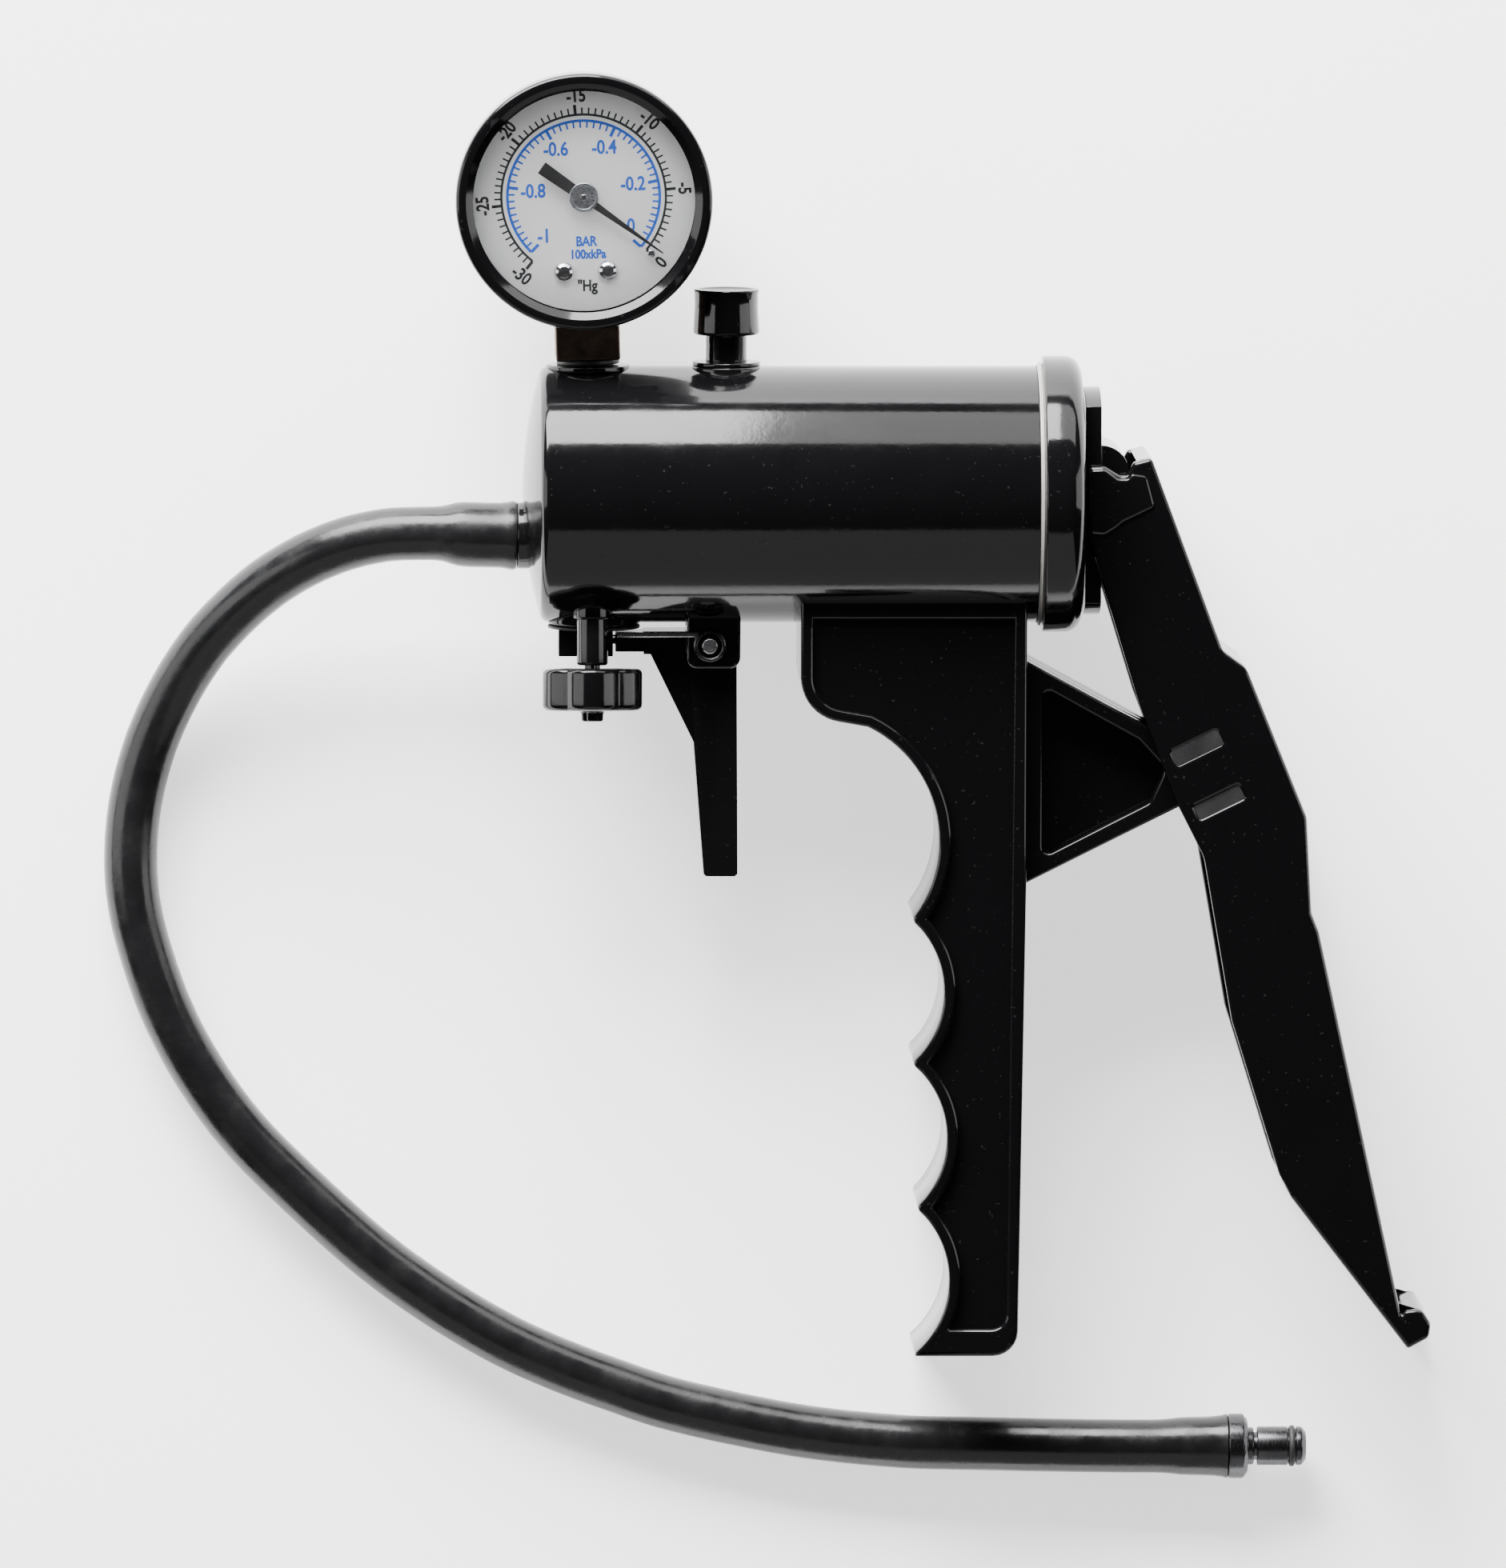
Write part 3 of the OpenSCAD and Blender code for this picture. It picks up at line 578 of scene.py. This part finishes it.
def make_plug():
    bm = bmesh.new()
    hexed = lambda a, h: 1 - 0.028 * (1 - math.cos(6 * a)) / 2 if 0.4 < h < 2.6 else 1 - 0.014
    lathe(bm, rounded([(0.05, 1.7), (0.05, 4.9, 0.3), (0.35, 5.1, 0.2), (2.5, 5.1, 0.5), (3.2, 4.3, 0.5),
                       (3.2, 3, 0.15), (4.2, 3, 0.3), (4.2, 1.7)], n=4), loop=True, shape=hexed)
    nut = finish_mesh("plug_nut_turned", bm, PLUG, FINISH["dark_metal"], "housing",
                      ["plug_nut"])
    bm = bmesh.new()
    lathe(bm, rounded([(4.2, 1.0), (4.2, 2.2), (4.7, 2.2), (4.7, 3.06, 0.25), (9.55, 3.06, 0.15),
                       (9.6, 2.45), (10.8, 2.45), (10.85, 3.06, 0.15), (11.7, 3.06, 0.5), (12.4, 2.2, 0.3),
                       (12.4, 1.0, 0.2)], n=4), loop=True)
    body = finish_mesh("plug_body_turned", bm, PLUG, FINISH["dark_metal"], "housing",
                       ["plug_body"])
    bm = bmesh.new()
    turns = (math.tau * k / 16 for k in range(16))
    ring = [(10.2 + 0.5 * math.sin(t), 2.75 + 0.5 * math.cos(t)) for t in turns]
    lathe(bm, ring, loop=True)
    seal = finish_mesh("plug_o_ring", bm, PLUG, FINISH["seal_rubber"], "housing",
                       ["plug_seal"])
    return [nut, body, seal]


hose, hose_path, hose_length = make_hose()
make_plug()


# ---------------------------------------------------------------- barrel, cap and their fittings


def dome(r, rise=3.0, radius=20.0):
    """Height of the barrel's domed front at a radius."""
    ball = (radius ** 2 + rise ** 2) / (2 * rise)
    return -rise + ball - math.sqrt(ball ** 2 - r ** 2)


def make_barrel():
    bm = bmesh.new()
    front = [(dome(r), r) for r in (0.0, 3, 6, 9, 12, 14.5, 16.5)]
    edge = rounded([(dome(16.5), 16.5), (dome(19.9), 19.95, 1.5), (6, 20)], closed=False, n=10)[1:]
    bore = rounded([(6, 20), (77.2, 20, 0.2), (77.2, 17), (34, 17), (34, 0)], closed=False, n=3)[1:]
    lathe(bm, front + edge + bore, steps=160)
    lathe(bm, rounded([(13, 0), (13, 5.4), (18.9, 5.6), (19.5, 6.5, 0.25), (20.28, 6.5, 0.2), (20.28, 0)],
                      closed=False), "y", (GAUGE_FOOT[0], 0, 0))
    lathe(bm, rounded([(13, 0), (13, 5.5), (20.08, 5.5, 0.3), (20.08, 0)], closed=False), "y", VENT_AT)
    lathe(bm, rounded([(-13, 0), (-13, 7.2), (-20.35, 7.2, 0.5), (-20.35, 0)], closed=False), "y", VALVE_AT)
    finish_mesh("barrel_shell", bm, PUMP, BLACK, "housing", ["barrel"])
    bm = bmesh.new()
    lathe(bm, rounded([(5, 0), (5, 3), (0.05, 3, 0.35), (0.05, 0)], closed=False), "y")
    finish_mesh("tower_collar", bm, BLEED, BLACK, "housing")
    bm = bmesh.new()
    ear = rounded([(22.6, -15.5), (22.6, -26.8, 1.6), (30.9, -26.8, 1.8), (31, -15.5)])
    slab(bm, ear, 4.4, 6.8)
    slab(bm, ear, -6.8, -4.4)
    bevel(finish_mesh("trigger_ears", bm, PUMP, BLACK, "housing"), 0.5)


def make_cap():
    bm = bmesh.new()
    lathe(bm, rounded([(68, 14.4), (68, 16.9), (78.02, 16.9), (78.02, 21.55, 0.3), (84.15, 21.55, 2.6),
                       (84.15, 6.05, 0.3), (80, 6.05), (80, 14.4)]), steps=160, loop=True)
    finish_mesh("rear_cap_ring", bm, PUMP, BLACK, "housing", ["rear_cap"])
    bm = bmesh.new()
    lathe(bm, rounded([(77.2, 17), (77.2, 20.15), (77.45, 20.2), (77.5, 20.6, 0.08), (77.75, 20.6, 0.08),
                       (77.8, 20.2), (78, 20.15), (78, 17)], n=3), steps=160, loop=True)
    # The ring's light grey finish is a painted highlight along the seam; the raised ridge in its profile catches a
    # real glint.
    finish_mesh("cap_gasket_ring", bm, PUMP, FINISH["gasket"], "housing", ["cap_gasket"])


def make_vent():
    bm = bmesh.new()
    bowl = [(31.35 + 0.55 * (r / 4.4) ** 2, r) for r in (0.0, 1.2, 2.4, 3.4, 4.2)]
    skin = rounded([(12.4, 0), (12.4, 3.2), (25, 3.2, 0.3), (25, 5.2, 0.5), (29.5, 4.95), (31.4, 5.0),
                    (32.15, 5.2, 0.45), (32.0, 4.4, 0.3), (31.8, 4.2)], closed=False)
    lathe(bm, skin[:-1] + list(reversed(bowl)), "y", VENT_AT)
    finish_mesh("vent_plunger", bm, PUMP, BLACK, "vent", ["vent_button"])
    bm = bmesh.new()
    lathe(bm, rounded([(15, 3.25), (15, 4.4), (20.1, 4.4), (20.1, 5.3, 0.2), (20.78, 5.3, 0.25),
                       (20.78, 3.25, 0.2)]), "y", VENT_AT, loop=True)
    finish_mesh("vent_collar", bm, PUMP, BLACK, "housing", ["vent_seat"])


def make_spigot():
    bm = bmesh.new()
    ribs = [(-14.2, 1.5), (-14.2, 2.5)]
    for x in (-13.4, -10.6, -7.8):
        ribs += [(x, 2.6), (x + 1.8, 3.1), (x + 1.8, 2.6)]
    body = rounded([(-3.85, 2.6), (-3.85, 5.2, 0.4), (-1.4, 5.2), (-1.4, 2.48), (4, 2.48), (4, 1.5)],
                   closed=False)
    lathe(bm, ribs + body, at=(0, GALLERY_Y, 0), loop=True)
    finish_mesh("spigot_turned", bm, PUMP, BLACK, "housing", ["hose_spigot"])


# ---------------------------------------------------------------- grip and handle

GRIP_HALF = 12
GRIP_FOOT = -134.2
GRIP_BACK = 75.4
WEB = ((41.9, -53.3), 19.9)
FINGERS = [((47.6, -76.9), 15), ((48.1, -99.8), 15), ((48.5, -122.2), 15)]
TIP_GAP = 2.0
TIP_R = 1.1


def meet(a, b):
    """Where two circles cross, on their +X side."""
    (ca, ra), (cb, rb) = a, b
    ca, cb = Vector(ca), Vector(cb)
    gap = (cb - ca).length
    along_line = (ra * ra - rb * rb + gap * gap) / (2 * gap)
    across = math.sqrt(ra * ra - along_line ** 2)
    way = (cb - ca) / gap
    return ca + way * along_line + Vector((-way.y, way.x)) * across


def angle_to(circle, point):
    return math.degrees(math.atan2(point[1] - circle[0][1], point[0] - circle[0][0]))


def grip_front():
    """The front edge, from the barrel down to the foot, with soft tips between the grooves."""
    line = [(40.2, -20)] + arc((47.2, -27.7), 7, 180, 262, 8)
    circles = [WEB] + FINGERS
    start = 64
    for circle, below in zip(circles, circles[1:]):
        tip = meet(circle, below)
        line += arc(*circle, start, angle_to(circle, tip) + math.degrees(TIP_GAP / circle[1]))
        line.append((tip.x, tip.y, TIP_R))
        start = angle_to(below, tip) - math.degrees(TIP_GAP / below[1])
    return line + arc(*circles[-1], start, -49)


def grip_loop(top):
    foot = [(58.2, GRIP_FOOT, 0.4), (74.3, GRIP_FOOT, 4), (GRIP_BACK, -60)]
    return [(40.2, top)] + grip_front() + foot + [(GRIP_BACK, top)]


def panel_loop():
    """The recessed side panel, a rim's width inside the grip's edge."""
    moved = inset(grip_loop(-16.6), 1.9)
    front = [corner for corner in moved[:-4] if corner[1] > GRIP_FOOT + 5]
    return front + [(63.4, GRIP_FOOT + 4.2, 0.6), (72.5, GRIP_FOOT + 4.2, 2.4), moved[-1]]


def make_grip():
    bm = bmesh.new()
    plate(bm, grip_loop(-17.1), -GRIP_HALF + 1.2, GRIP_HALF - 1.2, 0.3)
    finish_mesh("grip_core", bm, PUMP, BLACK, "housing", ["grip_frame"])
    for side in (-1, 1):
        bm = bmesh.new()
        low, high = sorted((side * (GRIP_HALF - 1.3), side * GRIP_HALF))
        plate(bm, grip_loop(-14.5), low, high, 0.55, [panel_loop()])
        name = "grip_rim_near" if side > 0 else "grip_rim_far"
        finish_mesh(name, bm, PUMP, BLACK, "housing")
    bm = bmesh.new()
    brace = [(74, -24.6), (94.6, -35.9, 3), (101, -39.6, 3), (101, -47.2, 3), (99.5, -48.2, 2), (74, -61)]
    plate(bm, brace, -3, 3, 0.3)
    window = [(78, -29.5, 1), (93, -37.8, 2), (97.2, -42.4, 2), (94.8, -47.6, 2), (78, -56.2, 1)]
    for low, high in ((2.9, 8.5), (-8.5, -2.9)):
        plate(bm, brace, low, high, 0.5, [window])
    lathe(bm, rounded([(-8.5, 3.05), (-8.5, 6.2, 0.5), (8.5, 6.2, 0.5), (8.5, 3.05)]), "z",
          (*HANDLE_PIVOT, 0), loop=True)
    finish_mesh("grip_bracket", bm, PUMP, BLACK, "housing")


HANDLE_TOP = [(84.7, -6, 1.5), (84.7, 5.2, 0.8), (87.4, 5.3, 1.4), (89.6, 3.9, 0.8), (90.8, 3.9, 0.8),
              (91.9, 5.9, 0.6), (94.7, 6.6, 0.7)]
HANDLE_BACK = [(105.9, -23.5, 2), (109.6, -26.2, 3.2), (119.1, -49.6, 2.5), (119.9, -64.6, 2),
               (121.1, -67.6, 2), (133.7, -125.4)]
HANDLE_TOE = [(134.2, -128, 0.5), (134.9, -127.1, 0.8), (137.4, -126.9, 1.4), (138.9, -129.2, 1.4),
              (138.6, -131.4, 1.3), (135.3, -133.2, 0.5)]
HANDLE_FRONT = [(116.9, -109.3, 4), (115, -105.6), (107.5, -81.4), (103.1, -55.9, 6), (99, -47.8),
                (92.8, -31.6), (88.2, -16.6)]
MARKS = ((101.9, -38.7), (105.4, -47.2))


def mark_loop(at):
    turn = Matrix.Rotation(math.radians(26), 2)
    corners = [(-3.8, -1.1), (3.8, -1.1), (3.8, 1.1), (-3.8, 1.1)]
    placed = [turn @ Vector(c) + Vector(at) for c in corners]
    return [(*p, 0.3) for p in placed]


def make_handle():
    outline = HANDLE_TOP + HANDLE_BACK + HANDLE_TOE + HANDLE_FRONT
    boss = [(84.9, -5.2, 0.8), (87.4, -5.4, 1.6), (89.3, -4.2, 1.2), (90.2, -3.4, 0.8), (95.2, -1.0, 0.8),
            (93.9, 3.9, 1), (91.6, 4.2, 0.6), (90.9, 3.4, 0.6), (89.4, 3.4, 0.6), (87.4, 4.9, 1.2),
            (84.9, 4.8, 0.8)]
    for side in (-1, 1):
        place = PUMP @ Matrix.Diagonal((1, 1, side, 1))
        tail = "near" if side > 0 else "far"
        bm = bmesh.new()
        plate(bm, outline, 9.7, 11.9, 0.7, [mark_loop(at) for at in MARKS])
        plate(bm, boss, 11.2, 12.3, 0.5)
        first = ["handle"] if side > 0 else []
        finish_mesh("handle_cheek_" + tail, bm, place, BLACK, "handle", first)
        bm = bmesh.new()
        for at in MARKS:
            floor = 11.6 if at is MARKS[-1] else 11.75
            slab(bm, rounded(inset(facing(mark_loop(at), 1), -0.3)), 9.9, floor)
        lathe(bm, rounded([(4.6, 0), (4.6, 3, 0.4), (10, 3), (10, 0)], closed=False), "z",
              (*HANDLE_PIVOT, 0), steps=48)
        finish_mesh("handle_marks_" + tail, bm, place, MATT_BLACK, "handle")
    inner = [(135, -132.9), (136.5, -131.2), (136.5, -130.1), (134.9, -128), (131.2, -125.4),
             (118.8, -68.1), (117.6, -65.1), (116.8, -50.1), (107.1, -26.9), (103.5, -24), (92.4, 6)]
    back = [(93, 6.2), (94.7, 6.6, 0.7)] + HANDLE_BACK + HANDLE_TOE
    bm = bmesh.new()
    slab(bm, rounded(back[:-1] + inner), -9.9, 9.9)
    toe = [(131.2, -125.3), (133.5, -125.7), (134.5, -127.7), (137.2, -127.6), (138, -129.3), (137.8, -131),
           (135.2, -132.6)]
    slab(bm, toe, -9.8, 9.8)
    finish_mesh("handle_back", bm, PUMP, BLACK, "handle")


# ---------------------------------------------------------------- gauge

DIAL_Z = 6.8
PRINT_H = 0.05
PRINT_WIDTH = 0.84
PRINT_WEIGHT = 0.075
NUMBER_R = 15.6
NUMBER_SIZE = 2.75
BLACK_R = 12.75
BLUE_R = 11.8


def arc_band(bm, radius, width, start, end, low, high, step=3):
    """A flat ring segment between two angles in degrees."""
    n = max(2, int((end - start) / step))
    inner, outer = radius - width / 2, radius + width / 2
    angles = [math.radians(start + (end - start) * k / n) for k in range(n + 1)]
    outline = [(outer * math.cos(a), outer * math.sin(a)) for a in angles]
    outline += [(inner * math.cos(a), inner * math.sin(a)) for a in reversed(angles)]
    slab(bm, outline, low, high)


def tick(bm, angle, start, end, width, low, high):
    a = math.radians(angle)
    out, side = Vector((math.cos(a), math.sin(a))), Vector((-math.sin(a), math.cos(a)))
    corners = [out * start - side * width / 2, out * end - side * width / 2, out * end + side * width / 2,
               out * start + side * width / 2]
    slab(bm, [tuple(c) for c in corners], low, high)


def lettering(name, items, ink):
    """Raised condensed print: each item is (text, x, y, size, turn in degrees) in the arbor's frame."""
    bm = bmesh.new()
    for text, x, y, size, turn in items:
        curve = bpy.data.curves.new(name, "FONT")
        curve.body = text
        curve.size = size
        curve.align_x = "CENTER"
        curve.align_y = "CENTER"
        curve.extrude = PRINT_H / 2
        curve.resolution_u = 4
        curve.offset = PRINT_WEIGHT
        shown = bpy.data.objects.new(name, curve)
        mesh = shown.to_mesh()
        place = Matrix.Translation((x, y, DIAL_Z + PRINT_H / 2))
        place = place @ Matrix.Rotation(math.radians(turn), 4, "Z")
        mesh.transform(place @ Matrix.Diagonal((PRINT_WIDTH, 1, 1, 1)))
        bm.from_mesh(mesh)
        shown.to_mesh_clear()
        bpy.data.objects.remove(shown)
    return finish_mesh(name, bm, ARBOR, ink, "housing")


MERCURY = ((0, -42), (-5, 3), (-10, 47.6), (-15, 92.6), (-20, 138), (-25, 183.6), (-30, 230))
BAR = ((0, -43), (0.2, 10.6), (0.4, 64), (0.6, 117.8), (0.8, 171.4), (1, 225))


def make_scales():
    low, high = DIAL_Z, DIAL_Z + PRINT_H
    bm = bmesh.new()
    arc_band(bm, BLACK_R, 0.36, MERCURY[0][1], MERCURY[-1][1], low, high)
    for k in range(61):
        angle = MERCURY[0][1] + (MERCURY[-1][1] - MERCURY[0][1]) * k / 60
        length = 1.56 if k % 10 == 0 else 1.1
        tick(bm, angle, 12.8, BLACK_R + length, 0.46 if k % 10 == 0 else 0.26, low, high)
    finish_mesh("scale_black", bm, ARBOR, INK_BLACK, "housing")
    bm = bmesh.new()
    arc_band(bm, BLUE_R, 0.42, BAR[0][1], BAR[-1][1], low, high)
    for k in range(51):
        angle = BAR[0][1] + (BAR[-1][1] - BAR[0][1]) * k / 50
        length = 1.6 if k % 10 == 0 else 1.1
        tick(bm, angle, BLUE_R - length, 11.75, 0.48 if k % 10 == 0 else 0.28, low, high)
    finish_mesh("scale_blue", bm, ARBOR, INK_BLUE, "housing")
    outer = []
    for value, angle in MERCURY:  # each number's foot points inward, apart from the last one's
        a = math.radians(angle)
        turn = angle + 90 if value == MERCURY[-1][0] else angle - 90
        outer.append((str(value), NUMBER_R * math.cos(a), NUMBER_R * math.sin(a), NUMBER_SIZE, turn))
    lettering("numbers_black", outer + [('"Hg', 0.2, -13.9, 2.4, 0)], INK_BLACK)
    inner = [("-0.6", -4.1, 7.4), ("-0.4", 3.4, 7.5), ("-0.2", 7.7, 1.7), ("-0.8", -7.8, 1.0),
             ("-1", -6.3, -6.0), ("0", 7.2, -4.8)]
    items = [(text, x, y, 3.0, 0) for text, x, y in inner]
    items += [("BAR", 0.2, -7.0, 2.1, 0), ("100xkPa", 0.4, -9.0, 1.95, 0)]
    lettering("numbers_blue", items, INK_BLUE)


def make_gauge():
    bm = bmesh.new()
    lathe(bm, rounded([(-11, 0), (-11, 18.6, 2.2), (6.4, 18.6), (6.4, 17.4), (-9.6, 17.4), (-9.6, 0)],
                      closed=False), "z", steps=160)
    finish_mesh("gauge_shell", bm, GAUGE, BLACK, "housing", ["gauge_case"])
    bm = bmesh.new()
    lathe(bm, rounded([(5.2, 18.65), (5.2, 19.95, 0.5), (11.95, 19.95, 1.5), (11.95, 18.4, 0.4),
                       (10.95, 17.06, 0.1), (10.85, 18.2), (6.4, 18.2), (6.4, 18.65)], n=8), "z",
          steps=192, loop=True)
    finish_mesh("gauge_bezel_ring", bm, GAUGE, BLACK, "housing", ["gauge_bezel"])
    bm = bmesh.new()
    lathe(bm, rounded([(9.4, 0), (9.4, 18.1, 0.1), (10.8, 18.1, 0.1), (10.8, 0)], closed=False), "z",
          steps=128)
    finish_mesh("gauge_window", bm, GAUGE, FINISH["lens"], "housing", ["gauge_lens"])
    bm = bmesh.new()
    lathe(bm, rounded([(6.2, 1.2), (6.2, 17.3, 0.1), (6.8, 17.3, 0.1), (6.8, 1.2)], n=3), "z", steps=128,
          loop=True)
    finish_mesh("dial_plate", bm, GAUGE, FINISH["dial_face"], "housing", ["gauge_dial"])
    bm = bmesh.new()
    for x in (-3.4, 3.4):
        head = [(6.8, 0), (6.8, 1.55), (7.15, 1.6), (7.6, 1.35), (7.9, 0.9), (8.0, 0.0)]
        lathe(bm, rounded([p + (0.2,) for p in head], closed=False, n=4), "z", (x, -11.1, 0), steps=48)
    finish_mesh("dial_screw_heads", bm, GAUGE, FINISH["chrome"], "housing", ["dial_screws"])
    bm = bmesh.new()
    lathe(bm, rounded([(6.2, 0), (6.2, 0.6), (8.4, 0.6, 0.3), (8.4, 0)], closed=False), "z",
          (10.2, -8.5, 0), steps=32)
    finish_mesh("stop_post", bm, GAUGE, FINISH["chrome"], "housing", ["stop_pin"])


POINTER_ANGLE = -37


def make_pointer():
    space = ARBOR @ Matrix.Rotation(math.radians(POINTER_ANGLE), 4, "Z")
    bm = bmesh.new()
    blade = [(-8, -1.04), (-1.5, -0.88), (1, -0.62), (15.1, -0.1), (15.1, 0.1), (1, 0.62), (-1.5, 0.88),
             (-8, 1.04)]
    slab(bm, blade, 8.1, 8.45)
    lathe(bm, rounded([(-1.5, 0), (-1.5, 0.85), (8.2, 0.85), (8.2, 0)], closed=False), "z", steps=32)
    needle = finish_mesh("pointer_blade", bm, space, FINISH["pointer_black"], "pointer",
                         ["pointer"])
    bevel(needle, 0.08, 2)
    bm = bmesh.new()
    lathe(bm, rounded([(7.15, 0), (7.15, 2.2, 0.15), (8.6, 2.35, 0.25), (8.62, 1.85, 0.1), (8.5, 1.8),
                       (8.5, 0)], closed=False), "z", steps=64)
    finish_mesh("pointer_hub", bm, space, SILVER, "pointer")
    bm = bmesh.new()
    lathe(bm, rounded([(8.3, 0), (8.3, 0.55), (8.78, 0.5, 0.15), (8.78, 0)], closed=False), "z", steps=32)
    finish_mesh("pointer_rivet", bm, space, FINISH["chrome"], "pointer")


def make_stem():
    bm = bmesh.new()
    box(bm, (-5, 1.2, -5), (5, 13.4, 5))
    stem = finish_mesh("stem_block", bm, STEM, FINISH["bronze"], "housing", ["gauge_stem"])
    bevel(stem, 0.35)
    bm = bmesh.new()
    lathe(bm, rounded([(0.35, 1.5), (0.35, 4.9, 0.3), (1.25, 4.9, 0.3), (1.25, 1.5)]), "y", loop=True)
    finish_mesh("stem_ring", bm, STEM, FINISH["seal_rubber"], "housing", ["stem_seal"])


# ---------------------------------------------------------------- valves and trigger


def make_valves():
    bm = bmesh.new()
    lathe(bm, rounded([(-20.9, 1.2), (-20.9, 7.2, 0.2), (-20.4, 7.2, 0.2), (-20.4, 1.2)]), "y", VALVE_AT,
          loop=True)
    finish_mesh("valve_gasket_ring", bm, PUMP, FINISH["seal_rubber"], "housing",
                ["valve_gasket"])
    bm = bmesh.new()
    lathe(bm, rounded([(0, 1.3), (0, 2.45), (-7.15, 2.45, 0.5), (-7.15, 1.3, 0.2)]), "y", loop=True)
    finish_mesh("tower_tube", bm, BLEED, BLACK, "housing", ["bleed_tower"])


KNOB_LOBES = 5


def knob_shape(angle):
    """How far a star knob's edge stands out, as a share of its largest radius."""
    wave = 0.5 + 0.5 * math.cos(KNOB_LOBES * angle)
    return 0.865 + 0.135 * wave ** 0.6


def make_knob():
    bm = bmesh.new()
    skirt = rounded([(-8.5, 3.5), (-8.5, 6.0, 0.2), (-7.65, 6.3, 0.3), (-7.65, 7.95, 0.8),
                     (-14.15, 7.95, 0.9), (-14.3, 1.8, 0.5), (-15.9, 1.7, 0.35), (-15.9, 0)], closed=False)
    hub = rounded([(-7.0, 0), (-7.0, 1.25), (-7.65, 1.25), (-7.65, 3.3, 0.25), (-8.5, 3.4)], closed=False)
    lathe(bm, hub + skirt, "y", steps=240, shape=lambda a, h: knob_shape(a))
    finish_mesh("knob_star", bm, BLEED, BLACK, "knob", ["star_knob"])


def make_trigger_spring():
    bm = bmesh.new()
    helix(bm, 2.2, 0.35, 7.1, 9.0, 3, "z", (26.1, -23, 0), flat_turns=0.9)
    dark = FINISH["dark_metal"]
    finish_mesh("trigger_coil", bm, PUMP, dark, "trigger", ["trigger_spring"])
    bm = bmesh.new()
    box(bm, (11.6, -21.75, 7.15), (24.6, -20.95, 7.65))
    leg = finish_mesh("trigger_leg", bm, PUMP, FINISH["spring_steel"], "trigger")
    bevel(leg, 0.2)


def make_springs():
    bm = bmesh.new()
    helix(bm, 9, 0.7, 43, 80, 8, "x", (0, ROD_Y, 0))
    wire = FINISH["spring_steel"]
    coil = finish_mesh("return_coil", bm, PUMP, wire, "housing", ["return_spring"])
    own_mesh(coil)
    bm = bmesh.new()
    helix(bm, 2.4, 0.3, 9, 12, 3.5, "y", VENT_AT, flat_turns=0.6)
    coil = finish_mesh("vent_coil", bm, PUMP, wire, "housing", ["vent_spring"])
    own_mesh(coil)


# ---------------------------------------------------------------- the CAD nodes that stay

EDGES = {
    "crosshead": 0.5,
    "trigger": 0.6,
    "valve_body": 0.5,
    "crosshead_pin": 0.2,
    "piston_rod": 0.2,
    "trigger_pin": 0.2,
}


def dress_nodes():
    record = frame["record"]
    slots = {part["node"]: part["material_slot"] for part in record["subparts"]}
    for node, piece in frame["nodes"].items():
        if piece.hide_render:
            continue
        soften(node, EDGES.get(node, 0), FINISH[slots[node]])


# ---------------------------------------------------------------- floor and light


def lamp(name, place, size, power, target):
    data = bpy.data.lights.new(name, "AREA")
    data.shape = "RECTANGLE"
    data.size, data.size_y = size
    data.energy = power
    light = bpy.data.objects.new(name, data)
    light.location = place
    light.rotation_euler = (Vector(place) - Vector(target)).to_track_quat("Z", "Y").to_euler()
    scene.collection.objects.link(light)


def make_stage():
    bm = bmesh.new()
    half = 3.0
    corners = [bm.verts.new((x * half, y * half, 0)) for x, y in ((-1, -1), (1, -1), (1, 1), (-1, 1))]
    bm.faces.new(corners)
    mesh = bpy.data.meshes.new("floor")
    bm.to_mesh(mesh)
    bm.free()
    floor = bpy.data.objects.new("floor", mesh)
    mesh.materials.append(painted_floor())
    scene.collection.objects.link(floor)
    world = bpy.data.worlds.new("studio")
    scene.world = world
    world.use_nodes = True
    world.node_tree.nodes["Background"].inputs["Color"].default_value = (1, 1, 1, 1)
    world.node_tree.nodes["Background"].inputs["Strength"].default_value = 0.03
    for k, right in enumerate((0.08, 0.0, -0.06)):
        middle = (right - 0.9) / 2
        lamp("key_%d" % k, (middle, 0.95, 0.47), (right + 0.9, 0.62), 40, (middle, 0, 0.02))
    lamp("key_wide", (0, 0.96, 0.48), (1.8, 0.62), 14, (0, 0, 0.02))
    lamp("fill", (0, -1.1, 0.92), (2.0, 1.84), 7, (0, 0, 0.92))
    lamp("left", (-1.2, 0.1, 0.6), (0.5, 1.0), 4, (0, 0, 0.02))
    lamp("right", (1.2, 0.1, 0.5), (0.5, 1.0), 4, (0, 0, 0.02))


make_barrel()
make_cap()
make_vent()
make_spigot()
make_grip()
make_handle()
make_gauge()
make_scales()
make_pointer()
make_stem()
make_valves()
make_knob()
make_trigger_spring()
make_springs()
dress_nodes()
make_stage()
